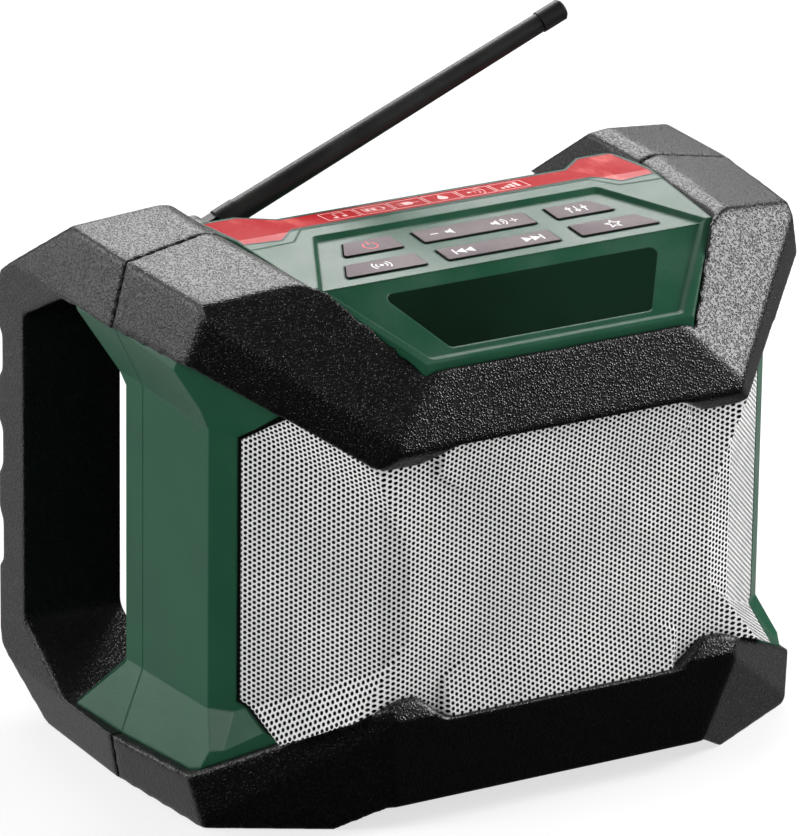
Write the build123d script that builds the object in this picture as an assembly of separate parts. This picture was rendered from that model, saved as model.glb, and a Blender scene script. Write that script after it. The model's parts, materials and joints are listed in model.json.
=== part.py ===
from build123d import *
import math
import os

# Rugged jobsite radio.  Millimetres, +Z up, the front faces -Y, +X is the right-hand side seen from
# the front.  The origin is on the floor, in the middle, at the seam between front and rear shells.

# ---------------------------------------------------------------- driving dimensions
width = 250.0              # over the side loops at their widest
height = 194.6             # floor to the inner edge of the arms
front_reach = 97.0         # seam to the foremost edge of the bumpers
rear_reach = 85.0          # seam to the back of the grips

arm_width = 38.0           # side loop, across
arm_lip = 4.5              # the top arm's inner lip is wider by this
grip_depth = 20.0          # rear grip, front to back
arm_depth = 28.6           # top arm, floor-side edge below the top face
sill_height = 17.0         # bottom arm
loop_top_run = 32.4        # flat top of the loop behind the seam
loop_bottom_run = 56.0     # flat bottom of the loop behind the seam
loop_shoulder = 34.8       # how far the rear top corner is cut down
loop_heel = 21.0           # how far the rear bottom corner is cut up
loop_corner = 6.0          # rounding of the loop's outer corners
loop_inner_corner = 4.0    # and of its opening

rim_inset = 2.3            # flared shell edge inside the bumper edge
side_inset = 12.6          # waist of the shell inside the widest line
wall = 3.0                 # shell wall
fit = 0.3                  # clearance between separate solids that touch nothing else

grille_thickness = 1.0
cloth_thickness = 0.6

panel_rise_angle = 3.4     # key face, rising to the rear
panel_slope_angle = 33.4   # display face, falling to the front
recess_depth = 1.6         # panel recess
strip_front = 9.0          # rear strip starts this far in front of the seam
strip_rear = 8.0           # and ends this far behind it
shoulder_rear = 18.5       # the strip's two ends reach this far back
label_thickness = 0.5

display_half_top = 54.2
display_half_bottom = 39.1
display_height = 25.4      # along the slope
lens_thickness = 1.6

key_gap = 7.5
key_proud = 0.6
key_clearance = 0.4
key_corner = 1.2           # rounding of the key slots
lens_corner = 2.4
recess_corner = 3.5

speaker_radius = 26.0
speaker_spacing = 60.0
speaker_depth = 27.0

antenna_y = 26.0
antenna_radius = 4.6
antenna_tip_radius = 3.9
antenna_length = 155.0
antenna_angle = 22.8       # from level, at rest
antenna_offset = 10.0      # hinge inside the arm's inner face
pivot_drop = 10.8          # hinge below the top
pivot_inset = arm_width + antenna_offset
pivot_height = height - pivot_drop

dock_half_width = 42.0
dock_depth = 17.0
dock_floor = 62.0
bulge_half_width = 72.0
bulge_rear = 58.0
bulge_drop = 22.6          # bay top below the top of the arms
bulge_top = height - bulge_drop
rear_wall_y = 21.0
hidden_sides = 8          # sides of small round things that nothing turns in
speaker_sides = 24

half = width / 2
top = height


# ---------------------------------------------------------------- small tools
def solid_of(shape):
    """The single solid inside a boolean result, or the whole compound when there are more."""
    solids = shape.solids()
    return solids[0] if len(solids) == 1 else Compound(children=solids)


def facet(a, b, c, outside):
    """Plane through three points, with its normal on the side of the point 'outside'."""
    a, b, c, outside = Vector(*a), Vector(*b), Vector(*c), Vector(*outside)
    normal = (b - a).cross(c - a).normalized()
    if normal.dot(outside - a) < 0:
        normal = normal * -1
    return a, normal


def mirrored(plane):
    """The same plane on the left-hand side."""
    point, normal = plane
    return Vector(-point.X, point.Y, point.Z), Vector(-normal.X, normal.Y, normal.Z)


def shifted(plane, inset):
    """The plane moved inwards by inset."""
    point, normal = plane
    return point - normal * inset, normal


def flipped(plane):
    point, normal = plane
    return point, normal * -1


def inside(planes, span=700.0):
    """Convex solid that lies inside every plane."""
    solid = Pos(0, 0, top / 2) * Box(span, span, span)
    for point, normal in planes:
        solid = split(solid, bisect_by=Plane(origin=point, z_dir=normal), keep=Keep.BOTTOM)
    return solid_of(solid)


def prism_z(points, z0, z1):
    """Prism with a plan outline."""
    face = make_face(Polyline(*[(x, y, z0) for x, y in points], close=True))
    return solid_of(extrude(face, amount=z1 - z0, dir=(0, 0, 1)))


def soft_face(points, radius=0.0, keep_sharp=None):
    """Face inside a closed outline, its corners rounded except those that keep_sharp says."""
    face = make_face(Polyline(*points, close=True)).face()
    if radius:
        corners = [v for v in face.vertices() if keep_sharp is None or not keep_sharp(v)]
        face = face.fillet_2d(radius, corners)
    return face


def prism_x(points, x0, x1, radius=0.0, keep_sharp=None):
    """Prism with a side outline of (y, z) points."""
    face = soft_face([(x0, y, z) for y, z in points], radius, keep_sharp)
    return solid_of(extrude(face, amount=x1 - x0, dir=(1, 0, 0)))


def prism_y(points, y0, y1):
    """Prism with a front outline of (x, z) points."""
    face = make_face(Polyline(*[(x, y0, z) for x, z in points], close=True))
    return solid_of(extrude(face, amount=y1 - y0, dir=(0, 1, 0)))


def block(x0, x1, y0, y1, z0, z1):
    return Pos((x0 + x1) / 2, (y0 + y1) / 2, (z0 + z1) / 2) * Box(x1 - x0, y1 - y0, z1 - z0)


def both(half_outline):
    """Closed outline from its right half, whose first and last points need not touch x = 0."""
    return half_outline + [(-x, y) for x, y in reversed(half_outline)]


# ---------------------------------------------------------------- facets of the bumpers
def brow_planes():
    """Top bumper: top, side, corner, band, front and the chamfer under the brow."""
    centre = (0, 0, 90)
    top_in = (half - 36.0, 0, top)
    top_out = (half - 5.8, 0, top - 5.6)
    side_low = (half, 0, top - arm_depth)
    front_in = (half - 41.9, -(front_reach - 44.0), top - 1.6)
    front_out = (half - 10.0, -(front_reach - 48.7), top - 7.6)
    pairs = [
        facet(top_in, top_out, front_in, (0, 0, 999)),
        facet(top_out, side_low, front_out, (999, 0, 100)),
        facet((half - 41.3, -(front_reach - 42.6), top - 0.6),
              (half - 10.4, -(front_reach - 49.6), top - 8.3),
              (half - 56.3, -(front_reach + 0.8), top - 51.7), (999, -999, 999)),
        facet((half - 9.5, -(front_reach - 48.1), top - 7.6),
              (half - 57.4, -(front_reach - 1.1), top - 52.4),
              (half - 54.1, -(front_reach - 3.8), top - 59.4), (999, -999, 100)),
    ]
    single = [
        facet((0, -(front_reach - 8.3), top - 26.9), (9, -(front_reach - 8.3), top - 26.9),
              (0, -front_reach, top - 52.3), (0, -999, 150)),
        facet((0, -front_reach, top - 52.3), (9, -front_reach, top - 52.3),
              (0, -(front_reach - 6.0), top - 59.3), (0, -999, 0)),
    ]
    return pairs, single


def chin_planes():
    """Bottom bumper: side, band, corner, front and the chamfer above the front face."""
    pairs = [
        facet((half, 0, sill_height), (half - 3.0, 0, 0), (half - 4.6, -(front_reach - 48.6), 19.4),
              (999, 0, 10)),
        facet((half - 57.6, -(front_reach - 1.9), 52.4), (half - 6.8, -(front_reach - 45.8), 0),
              (half - 4.8, -(front_reach - 48.8), 19.4), (999, -999, 20)),
        facet((half - 47.9, -(front_reach - 23.5), 0), (half - 56.5, -(front_reach - 0.9), 46.0),
              (half - 7.1, -(front_reach - 46.2), 0), (999, -999, 0)),
    ]
    single = [
        facet((0, -(front_reach - 1.0), 46.0), (9, -(front_reach - 1.0), 46.0),
              (0, -(front_reach - 10.9), 9.4), (0, -999, 20)),
        facet((0, -(front_reach - 1.0), 46.0), (9, -(front_reach - 1.0), 46.0),
              (0, -(front_reach - 4.0), 52.4), (0, -999, 60)),
        facet((0, 0, 0), (9, 0, 0), (0, 9, 0), (0, 0, -9)),
    ]
    return pairs, single


def all_sides(pairs, single, inset=0.0):
    planes = [shifted(p, inset) for p in single]
    for plane in pairs:
        planes += [shifted(plane, inset), shifted(mirrored(plane), inset)]
    return planes


def under_brow():
    """Everything below the lower edge of the top bumper: level under the arms, falling along the
    bands to two teeth, and raised again between the teeth."""
    arm_low = top - arm_depth
    tooth_low = top - 59.3
    band = facet((half - 4.5, -(front_reach - 50.2), arm_low),
                 (half - 56.1, -(front_reach - 6.0), tooth_low),
                 (half - 11.0, -(front_reach - 57.8), arm_low), (0, 0, 999))
    ceiling = (Vector(0, 0, arm_low), Vector(0, 0, 1))
    tooth = (Vector(0, 0, tooth_low), Vector(0, 0, 1))
    notch = prism_y([(half - 69.7, tooth_low), (half - 81.1, top - 52.8),
                     (-(half - 81.1), top - 52.8), (-(half - 69.7), tooth_low)], -200, 0)
    return inside([band, ceiling]) + inside([mirrored(band), ceiling]) + inside([tooth]) + notch


def over_chin():
    """Everything above the upper edge of the bottom bumper."""
    edge_side = 19.4
    tooth_high = 52.0
    band = facet((half - 4.6, -(front_reach - 48.6), edge_side),
                 (half - 58.3, -(front_reach - 2.7), tooth_high),
                 (half - 11.1, -(front_reach - 56.2), edge_side), (0, 0, -999))
    sill = facet((0, 0, sill_height), (9, 0, sill_height),
                 (0, -(front_reach - 48.6), edge_side), (0, 0, -999))
    tooth = (Vector(0, 0, tooth_high), Vector(0, 0, -1))
    notch = prism_y([(half - 68.9, tooth_high), (half - 78.9, 43.5),
                     (-(half - 78.9), 43.5), (-(half - 68.9), tooth_high)], -200, 0)
    return inside([band, sill]) + inside([mirrored(band), sill]) + inside([tooth]) + notch


# ---------------------------------------------------------------- waisted shell of the radio
waist_x = half - side_inset
bend = (half - 15.5, -(front_reach - 55.0))            # vertical bend, side to wing
wing_end = (half - 56.5, -(front_reach - 9.2))         # vertical bend, wing to front
front_x = half - 66.0
front_y = -(front_reach - 6.5)


def waist_cuts(inset):
    """Convex pieces cut from the envelope: side, wing and narrow band, each between its upper and
    lower flare."""
    bx, by = bend
    wx, wy = wing_end
    body_side_top, body_side_low = (0, 0, 400), (0, 0, -200)
    arm_low = top - arm_depth
    side = facet((waist_x, 0, 0), (bx, by, 0), (waist_x, 0, 9), (999, 0, 0))
    wing = facet((bx, by, 0), (wx, wy, 0), (bx, by, 9), (999, -999, 0))
    band = facet((wx, wy, 0), (front_x, front_y, 0), (wx, wy, 9), (999, -999, 0))
    side_top = facet((waist_x, 0, arm_low - 23.0), (bx, by, arm_low - 25.4),
                     (half - 2.3, 0, arm_low - 1.3), body_side_top)
    side_low = facet((waist_x, 0, 39.5), (bx, by, 39.9), (half - 5.7, 0, 21.1), body_side_low)
    strip_top = facet((bx, by, arm_low - 25.4), (bx - 6.8, by - 7.6, arm_low - 26.0),
                      (half - 6.1, -(front_reach - 48.5), arm_low - 1.1), body_side_top)
    strip_low = facet((bx, by, 39.9), (bx - 6.8, by - 7.6, 40.0),
                      (half - 5.9, -(front_reach - 49.4), 24.9), body_side_low)
    wing_top = facet((bx - 8.5, by - 9.5, arm_low - 22.6), (wx, wy, arm_low - 43.6),
                     (half - 32.7, -(front_reach - 28.5), arm_low - 17.5), body_side_top)
    wing_low = facet((bx - 8.2, by - 9.2, 41.2), (wx, wy, 62.5),
                     (half - 26.3, -(front_reach - 27.9), 34.4), body_side_low)
    groups = [(side, [side_top, side_low]), (wing, [strip_top, wing_top, strip_low, wing_low]),
              (band, [wing_top, wing_low])]
    cuts = []
    for main, flares in groups:
        planes = [flipped(shifted(main, inset))] + [shifted(f, -inset) for f in flares]
        cuts += [inside(planes), inside([mirrored(p) for p in planes])]
    return cuts


def front_cut(inset):
    """Cut in front of the flat front, leaving the two shallow trapeziums that run out to the
    bumpers between the teeth."""
    high, low = top - 73.6, 63.5
    cut = inside([flipped(shifted((Vector(0, front_y, 0), Vector(0, -1, 0)), inset))])
    for sign, z0, z1, zt, x0, x1, out in ((1, high, high + 9.5, high + 20, 37.0, 50.0, 2.9),
                                          (-1, low, low - 6.2, low - 19.5, 35.5, 46.5, 3.0)):
        x0, x1 = x0 - 125.0 + half, x1 - 125.0 + half
        dx, dz = x1 - x0, z1 - z0
        away = Vector(-dz * -1 * sign, 0, -dx * sign).normalized()
        ramp = (Vector(x0, front_y, z0), (away + Vector(0, -1, 0)).normalized())
        upright = (Vector(x1, front_y, z1), Vector(1, -1, 0).normalized())
        flare = facet((0, front_y, z0), (9, front_y, z0), (0, front_y - out, zt), (0, -999, z0))
        planes = [shifted(p, inset) for p in (flare, ramp, mirrored(ramp), upright, mirrored(upright))]
        cut = cut - inside(planes)
    return cut


def shell_form(inset):
    """The waisted body in front of the seam and a little behind it, drawn in by inset."""
    brow_pairs, brow_single = brow_planes()
    chin_pairs, chin_single = chin_planes()
    planes = all_sides(brow_pairs[1:2] + brow_pairs[3:4], brow_single[:1], rim_inset + inset)
    planes += all_sides(chin_pairs[:2], chin_single[:1], rim_inset + inset)
    form = inside(planes)
    for cut in waist_cuts(inset):
        form = form - cut
    return form - front_cut(inset)


# ---------------------------------------------------------------- panel on top
key_plane_point = Vector(0, -15.8, top - 2.0)
key_plane = Plane(origin=key_plane_point, x_dir=(1, 0, 0),
                  z_dir=(0, -math.sin(math.radians(panel_rise_angle)),
                         math.cos(math.radians(panel_rise_angle))))
panel_bend_y = -(front_reach - 41.5)
panel_bend_z = key_plane_point.Z + (panel_bend_y + 15.8) * math.tan(math.radians(panel_rise_angle))
display_plane = Plane(origin=(0, panel_bend_y, panel_bend_z), x_dir=(1, 0, 0),
                      z_dir=(0, -math.sin(math.radians(panel_slope_angle)),
                             math.cos(math.radians(panel_slope_angle))))
strip_plane = facet((0, -strip_front, top - 1.6), (9, -strip_front, top - 1.6),
                    (0, strip_rear, top - 3.0), (0, 0, 999))
panel_front_y = -(front_reach - 9.6)
panel_half = half - arm_width - arm_lip
panel_outline = both([(panel_half, 0), (panel_half - 4.0, panel_bend_y), (half - 73.0, panel_front_y)])
shoulder_outline = both([(panel_half, 0), (panel_half, shoulder_rear - 3.0),
                         (panel_half - 3.0, shoulder_rear), (half - 57.0, shoulder_rear),
                         (half - 68.0, strip_rear)])


def as_plane(plane):
    """(point, normal) of a build123d plane."""
    return plane.origin, plane.z_dir


def under_panel(depth=0.0):
    """Everything under the key face, the display face and the rear strip, lowered by depth."""
    return inside([shifted(as_plane(key_plane), depth), shifted(as_plane(display_plane), depth),
                   shifted(strip_plane, depth)])


def panel_block(depth=0.0, inset=0.0, low=120.0):
    """Upper block of the shells, which fills the opening between the arms."""
    outline = [(x - math.copysign(inset, x), min(y + inset, 0)) for x, y in panel_outline]
    return prism_z(outline, low, top + 5) & under_panel(depth)


def shoulder_block(depth=0.0, inset=0.0, low=120.0):
    """Its part behind the seam, with the strip set back for fingers to reach the antenna."""
    outline = [(x - math.copysign(inset, x), max(y - inset, 0)) for x, y in shoulder_outline]
    return prism_z(outline, low, top + 5) & under_panel(depth)


sole_outline = both([(half - arm_width, 0), (half - arm_width, -(front_reach - 53.0)),
                     (half - 72.0, -(front_reach - 19.0))])
sole_height = 9.4


def front_form(skin=0.0, inset=0.0, depth=0.0):
    """Front shell with its upper block and its sole: skin draws in what shows, inset draws in what
    the bumpers cover, and depth lowers the panel."""
    form = shell_form(skin) & Pos(0, 0, -inset) * under_brow() & Pos(0, 0, inset) * over_chin()
    form = form & block(-half, half, -front_reach, 0, 0, top)
    upper = panel_block(depth, inset)
    sole_in = [(x - math.copysign(inset, x), min(y + inset, 0)) for x, y in sole_outline]
    sole = prism_z(sole_in, sole_height + inset, 60.0)
    return form + upper + sole


def grille_window():
    """Space in front of the shell that the grille covers: two wings with their outer lower
    corners cut off, and the front."""
    bx, by = bend
    along = Vector(wing_end[0] - bx, wing_end[1] - by, 0).normalized()
    outward = Vector(-along.Y, along.X, 0)
    arm_low = top - arm_depth
    start = 10.2
    outline = [(start, 43.6), (start, arm_low - 26.4), (32.0, arm_low - 12.0), (76.0, arm_low - 12.0),
               (76.0, 25.0), (44.0, 25.0)]
    points = [Vector(bx, by, z) + along * s for s, z in outline]
    wing = solid_of(extrude(make_face(Polyline(*points, close=True)), amount=22, dir=outward, both=True))
    middle = block(-wing_end[0], wing_end[0], -200, wing_end[1] + 14, 25.0, arm_low - 12.0)
    return wing + mirror(wing, about=Plane.YZ) + middle


# ---------------------------------------------------------------- rear shell
rear_corner_y = 11.0
rear_flare_top = (half - 6.0, 30.0, top - arm_depth - 4.0)
rear_flare_low = (half - 6.0, 27.0, sill_height + 5.0)
loop_inner_y = 37.0


shelf_seat = 2.6                                         # shelf under the antenna's knuckle
shelf_height = pivot_height - antenna_radius - shelf_seat
shelf_reach = 13.0                                       # behind the rear wall


def bulge_form(inset=0.0):
    """Housing of the battery dock, with its upper and lower rear edges cut down."""
    low, high = sole_height + inset, bulge_top - inset
    outline = [(0, low), (bulge_rear - 12.0, low), (bulge_rear - inset, low + 14.0),
               (bulge_rear - inset, high - 16.0), (bulge_rear - 14.0, high), (0, high)]
    side = both([(bulge_half_width + 2.0 - inset, 0), (bulge_half_width + 2.0 - inset, rear_wall_y),
                 (bulge_half_width - 3.0 - inset, bulge_rear)])
    return prism_x(outline, -half, half) & prism_z(side, 0, top)


def rear_form(skin=0.0, inset=0.0, depth=0.0):
    """Rear shell: the side faces end in a corner facet and a rear wall, which flare out to the arms
    as the front does."""
    arm_low = top - arm_depth
    bx, by = bend
    upper_side = facet((half - 5.8, 0, top - 5.6), (half - 5.8, 9, top - 5.6), (half, 0, arm_low),
                       (999, 0, 90))
    lower_side = facet((half, 0, sill_height), (half, 9, sill_height), (half - 3.0, 0, 0), (999, 0, 0))
    planes = all_sides([upper_side, lower_side], [], rim_inset + skin)
    planes += [(Vector(0, rear_wall_y + shelf_reach - skin, 0), Vector(0, 1, 0)),
               (Vector(0, 0, arm_low - inset), Vector(0, 0, 1)),
               (Vector(0, 0, sill_height + inset), Vector(0, 0, -1)), (Vector(0, 0, 0), Vector(0, -1, 0))]
    form = inside(planes)
    body_top, body_low = (0, 0, 400), (0, 0, -200)
    side = facet((waist_x, 0, 0), (bx, by, 0), (waist_x, 0, 9), (999, 0, 0))
    side_top = facet((waist_x, 0, arm_low - 23.0), (bx, by, arm_low - 25.4),
                     (half - 2.3, 0, arm_low - 1.3), body_top)
    side_low = facet((waist_x, 0, 39.5), (bx, by, 39.9), (half - 5.7, 0, 21.1), body_low)
    corner_a = (waist_x + 0.7, rear_corner_y, 0)
    corner_b = (waist_x - 9.4, rear_wall_y, 0)
    corner = facet(corner_a, corner_b, (corner_a[0], corner_a[1], 9), (999, 999, 0))
    corner_top = facet((corner_a[0], corner_a[1], arm_low - 26.0), (corner_b[0], corner_b[1], arm_low - 26.0),
                       rear_flare_top, body_top)
    corner_low = facet((corner_a[0], corner_a[1], 38.0), (corner_b[0], corner_b[1], 38.0),
                       rear_flare_low, body_low)
    back = (Vector(0, rear_wall_y, 0), Vector(0, 1, 0))
    back_top = facet((0, rear_wall_y, arm_low - 26.0), (9, rear_wall_y, arm_low - 26.0),
                     (0, rear_wall_y + 12.0, arm_low - 3.0), body_top)
    back_low = facet((0, rear_wall_y, 38.0), (9, rear_wall_y, 38.0),
                     (0, rear_wall_y + 10.0, sill_height + 3.0), body_low)
    for main, flares in ((side, [side_top, side_low]), (corner, [corner_top, corner_low]),
                         (back, [back_top, back_low])):
        cut = [flipped(shifted(main, skin))] + [shifted(f, -skin) for f in flares]
        form = form - inside(cut)
        if main is not back:
            form = form - inside([mirrored(p) for p in cut])
    shelf = block(-(panel_half - inset), panel_half - inset, 0, rear_wall_y + shelf_reach - inset,
                  arm_low - 8.0 + inset, shelf_height - inset)
    sole = block(-(half - arm_width - inset), half - arm_width - inset, 0, rear_wall_y + 7.0 - inset,
                 sole_height + inset, sill_height + 7.0)
    return form + shelf + sole + shoulder_block(depth, inset)


# ---------------------------------------------------------------- panel features
recess_half = panel_half - 26.5                          # at the rear edge of the recess
recess_spread = 0.495                                    # sideways per millimetre towards the front
key_face_run = (-15.8 - panel_bend_y) / math.cos(math.radians(panel_rise_angle))
recess_bend_half = recess_half + recess_spread * key_face_run
recess_front_half = half - 76.0
recess_front_run = 36.5
recess_wall_run = 1.8
rocker_half = 0.4 * recess_half
key_rows = ((-7.0, -18.0), (-24.0, -34.4))               # rear and front row, along the key face
display_top_run = 6.6


def on_plane(plane, outline, top_depth, bottom_depth, corner=0.0):
    """Prism between two depths under a face of the panel, its upright edges rounded."""
    points = [plane.from_local_coords(Vector(x, y, -top_depth)) for x, y in outline]
    face = soft_face(points, corner)
    return solid_of(extrude(face, amount=bottom_depth - top_depth, dir=plane.z_dir * -1))


def panel_recess():
    """Sunk floor round the keys and the display, with sloping walls."""
    def wall_plane(plane, a, b, inward):
        a3 = plane.from_local_coords(Vector(a[0], a[1], 0))
        b3 = plane.from_local_coords(Vector(b[0], b[1], 0))
        low = plane.from_local_coords(Vector(a[0] + inward[0] * recess_wall_run,
                                             a[1] + inward[1] * recess_wall_run, -recess_depth))
        outside = plane.from_local_coords(Vector(a[0] - inward[0] * 50, a[1] - inward[1] * 50, 0))
        return facet(tuple(a3), tuple(b3), tuple(low), tuple(outside))

    bend_in = (Vector(0, panel_bend_y, 0), Vector(0, -1, 0))
    floor_a = flipped(shifted(as_plane(key_plane), recess_depth))
    floor_b = flipped(shifted(as_plane(display_plane), recess_depth))
    side_a = wall_plane(key_plane, (recess_half, 0), (recess_bend_half, -key_face_run), (-1, 0))
    rear_a = wall_plane(key_plane, (-9, 0), (9, 0), (0, -1))
    side_b = wall_plane(display_plane, (recess_bend_half, 0), (recess_front_half, -recess_front_run), (-1, 0))
    front_b = wall_plane(display_plane, (-9, -recess_front_run), (9, -recess_front_run), (0, 1))
    keys = inside([floor_a, side_a, mirrored(side_a), rear_a, bend_in], 2 * top)
    display = inside([floor_b, side_b, mirrored(side_b), front_b, flipped(bend_in)], 2 * top)
    return soft_corners(keys, key_plane) + soft_corners(display, display_plane)


def soft_corners(pocket, plane):
    """Pocket with the edges rounded that rise from its floor, apart from those at the bend."""
    rising = []
    for edge in pocket.edges():
        ends = [tuple(v) for v in edge.vertices()]
        depths = [plane.to_local_coords(Vector(*e)).Z for e in ends]
        at_bend = all(abs(e[1] - panel_bend_y) < 1e-3 for e in ends)
        if abs(depths[0] - depths[1]) > 1.0 and min(depths) < -recess_depth + 1e-3 and not at_bend:
            rising.append(edge)
    return pocket.fillet(recess_corner, rising)


def key_outline(row, place, grow=0.0):
    """Outline of a key in a row: place is left, centre or right.  The outer ends of the side keys
    run parallel to the recess."""
    rear, front = key_rows[row]
    rear, front = rear + grow, front - grow
    if place == "centre":
        x = rocker_half + grow
        return [(-x, rear), (x, rear), (x, front), (-x, front)]
    inner = rocker_half + key_gap - grow
    outer_rear = recess_half - recess_spread * rear - 11.0 + grow
    outer_front = recess_half - recess_spread * front - 11.0 + grow
    sign = 1 if place == "right" else -1
    return [(sign * inner, rear), (sign * outer_rear, rear), (sign * outer_front, front),
            (sign * inner, front)]


keys = {
    "power_button": (0, "left"), "volume_rocker": (0, "centre"), "eq_button": (0, "right"),
    "mode_button": (1, "left"), "track_rocker": (1, "centre"), "preset_button": (1, "right"),
}
key_lip = 0.9
lip_depth = 1.2                                          # underside of the lips below the panel wall
key_drop = 0.2                                           # rest gap over the lip of a key
rocker_drop = 0.5                                        # and of a rocker, whose ends tip up
rocker_lip_half = 7.0
membrane_gap = 1.2                                       # room for a key's travel
membrane_thickness = 0.8
switch_height = 2.2
panel_board_thickness = 1.6
membrane_top = recess_depth + wall + lip_depth + membrane_gap
board_top = membrane_top + membrane_thickness + switch_height


def make_keys():
    """Each key is a cap in its slot and a lip that holds it under the panel.  The lip of a rocker
    is short, so that its ends can dip."""
    made = {}
    under = recess_depth + wall
    for name, (row, place) in keys.items():
        cap = on_plane(key_plane, key_outline(row, place, -key_clearance), recess_depth - key_proud,
                       under + lip_depth, key_corner - key_clearance)
        outline, drop = key_outline(row, place, key_lip), key_drop
        if place == "centre":
            outline = [(math.copysign(rocker_lip_half, x), y) for x, y in outline]
            drop = rocker_drop
        made[name] = solid_of(cap + on_plane(key_plane, outline, under + drop, under + lip_depth))
    return made


def board_outline(margin):
    x_rear = recess_half + 6.0 - margin
    x_front = recess_bend_half - 8.0 - margin
    return [(-x_rear, 0.0 - margin), (x_rear, 0.0 - margin), (x_front, -36.0), (-x_front, -36.0)]


board_posts = [(sx * (recess_half - 1.0), -3.6) for sx in (-1, 1)] + \
              [(sx * (rocker_half + key_gap / 2), -21.0) for sx in (-1, 1)]


def along_normal(plane, x, y, depth0, depth1, radius):
    """Round post under a face of the panel."""
    low = plane.from_local_coords(Vector(x, y, -depth1))
    section = Plane(origin=low, x_dir=plane.x_dir, z_dir=plane.z_dir) * RegularPolygon(radius, hidden_sides)
    return solid_of(extrude(section, amount=depth1 - depth0, dir=plane.z_dir))


def display_outline(grow=0.0):
    rear, front = -display_top_run, -(display_top_run + display_height)
    return [(-(display_half_top + grow), rear + grow), (display_half_top + grow, rear + grow),
            (display_half_bottom + grow, front - grow), (-(display_half_bottom + grow), front - grow)]


gasket_thickness = 0.5
lens_ledge = 2.0

def panel_holes():
    """Slots for the keys, the stepped window for the display."""
    cuts = [on_plane(key_plane, key_outline(row, place), -2, 20, key_corner) for row, place in keys.values()]
    seat = recess_depth + lens_thickness + gasket_thickness
    cuts.append(on_plane(display_plane, display_outline(), -2, seat, lens_corner))
    cuts.append(on_plane(display_plane, display_outline(-lens_ledge), 0, 20))
    return cuts


module_margin = 3.0
module_thickness = 1.6
cell_rise = 0.8


def make_display():
    floor = recess_depth
    lens = on_plane(display_plane, display_outline(), floor, floor + lens_thickness, lens_corner)
    ring = on_plane(display_plane, display_outline(), floor + lens_thickness,
                    floor + lens_thickness + gasket_thickness, lens_corner)
    ring = ring - on_plane(display_plane, display_outline(-lens_ledge), 0, 20)
    back = recess_depth + wall
    module = on_plane(display_plane, display_outline(module_margin), back, back + module_thickness)
    cell = on_plane(display_plane, display_outline(-lens_ledge - 1.0), back - cell_rise, back)
    return {"display_lens": lens, "lens_gasket": solid_of(ring), "display_module": solid_of(module + cell)}


switch_half = 2.6


def make_key_electronics():
    membrane_low = membrane_top + membrane_thickness
    membrane = on_plane(key_plane, board_outline(1.5), membrane_top, membrane_low)
    board_low = board_top + panel_board_thickness
    board = on_plane(key_plane, board_outline(0.0), board_top, board_low)
    switches = []
    for row, place in keys.values():
        outline = key_outline(row, place)
        xs = sorted(x for x, _ in outline)
        y = sum(y for _, y in outline) / 4
        centres = [sum(xs) / 4] if place != "centre" else [xs[0] + 6.0, xs[-1] - 6.0]
        for x in centres:
            square = [(x - switch_half, y - switch_half), (x + switch_half, y - switch_half),
                      (x + switch_half, y + switch_half), (x - switch_half, y + switch_half)]
            switches.append(on_plane(key_plane, square, membrane_low, board_top))
    for x, y in board_posts:
        membrane = membrane - along_normal(key_plane, x, y, 0, 30, 3.4)
    screws = []
    for x, y in board_posts:
        board = board - along_normal(key_plane, x, y, 0, 30, 1.2)
        shank = along_normal(key_plane, x, y, board_top - 4.0, board_low, 1.15)
        head = along_normal(key_plane, x, y, board_low, board_low + 1.4, 2.4)
        screws.append(solid_of(shank + head))
    return solid_of(membrane), solid_of(board), Compound(children=switches), screws


trim_depth = 2.4
trim_outline = both([(half, shoulder_rear + 9.0), (half, -20.5), (half - 61.0, -17.5),
                     (half - 68.0, -strip_front), (half - 80.0, -strip_front)])


def make_top_trim():
    """Strip over the seam behind the key face, and the label in its recess."""
    trim = (panel_block() + shoulder_block()) & prism_z(trim_outline, 100, top + 9)
    trim = solid_of(trim - under_panel(trim_depth))
    front = both([(panel_half - 1.6, 40.0), (panel_half - 1.6, -13.0), (half - 58.0, -14.5),
                  (half - 66.0, -strip_front + 2.2), (half - 80.0, -strip_front + 2.2)])
    rear = both([(half, -30.0), (half, shoulder_rear - 1.8), (half - 57.4, shoulder_rear - 1.8),
                 (half - 68.4, strip_rear - 1.8), (half - 80.0, strip_rear - 1.8)])
    zone = prism_z(front, 100, top + 9) & prism_z(rear, 100, top + 9)
    label = (trim & zone) - under_panel(label_thickness)
    return solid_of(trim - label), solid_of(label)


# ---------------------------------------------------------------- bumpers and loops
speaker_z = (top - 59.3 + 52.0) / 2 - 2.0
grille_back = grille_thickness + cloth_thickness
notches = ((top - 54.6, top - 73.8), (top - 89.7, top - 109.4), (top - 123.5, top - 144.6))
notch_depth = 2.6


def make_bumpers():
    """Top and bottom bumper in front of the seam."""
    brow_pairs, brow_single = brow_planes()
    chin_pairs, chin_single = chin_planes()
    seam = [(Vector(0, 0, 0), Vector(0, 1, 0))]
    middle = [(Vector(0, 0, 90), Vector(0, 0, -1))]
    brow = inside(all_sides(brow_pairs, brow_single) + seam + middle)
    lip = facet((half - 36.0, 0, top), (half - 41.9, -(front_reach - 44.0), top - 1.6),
                (half - 42.6, 0, top - 2.1), (999, 0, 0))
    opening = inside([lip, mirrored(lip)]) & prism_z(
        both([(half, 0), (half, -(front_reach - 41.0)), (half - 72.6, -(front_reach - 8.3))]),
        top - 40, top + 60)
    brow = brow - under_brow() - prism_z(panel_outline, 120, top + 60) - opening
    chin = inside(all_sides(chin_pairs, chin_single) + seam + [flipped(p) for p in middle])
    arch = prism_y([(-(half - 48.3), 0), (-(half - 62.1), sole_height), (half - 62.1, sole_height),
                    (half - 48.3, 0)], -200, 20)
    chin = chin - over_chin() - prism_z(sole_outline, -9, 60) - arch
    return solid_of(brow), solid_of(chin)


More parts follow.
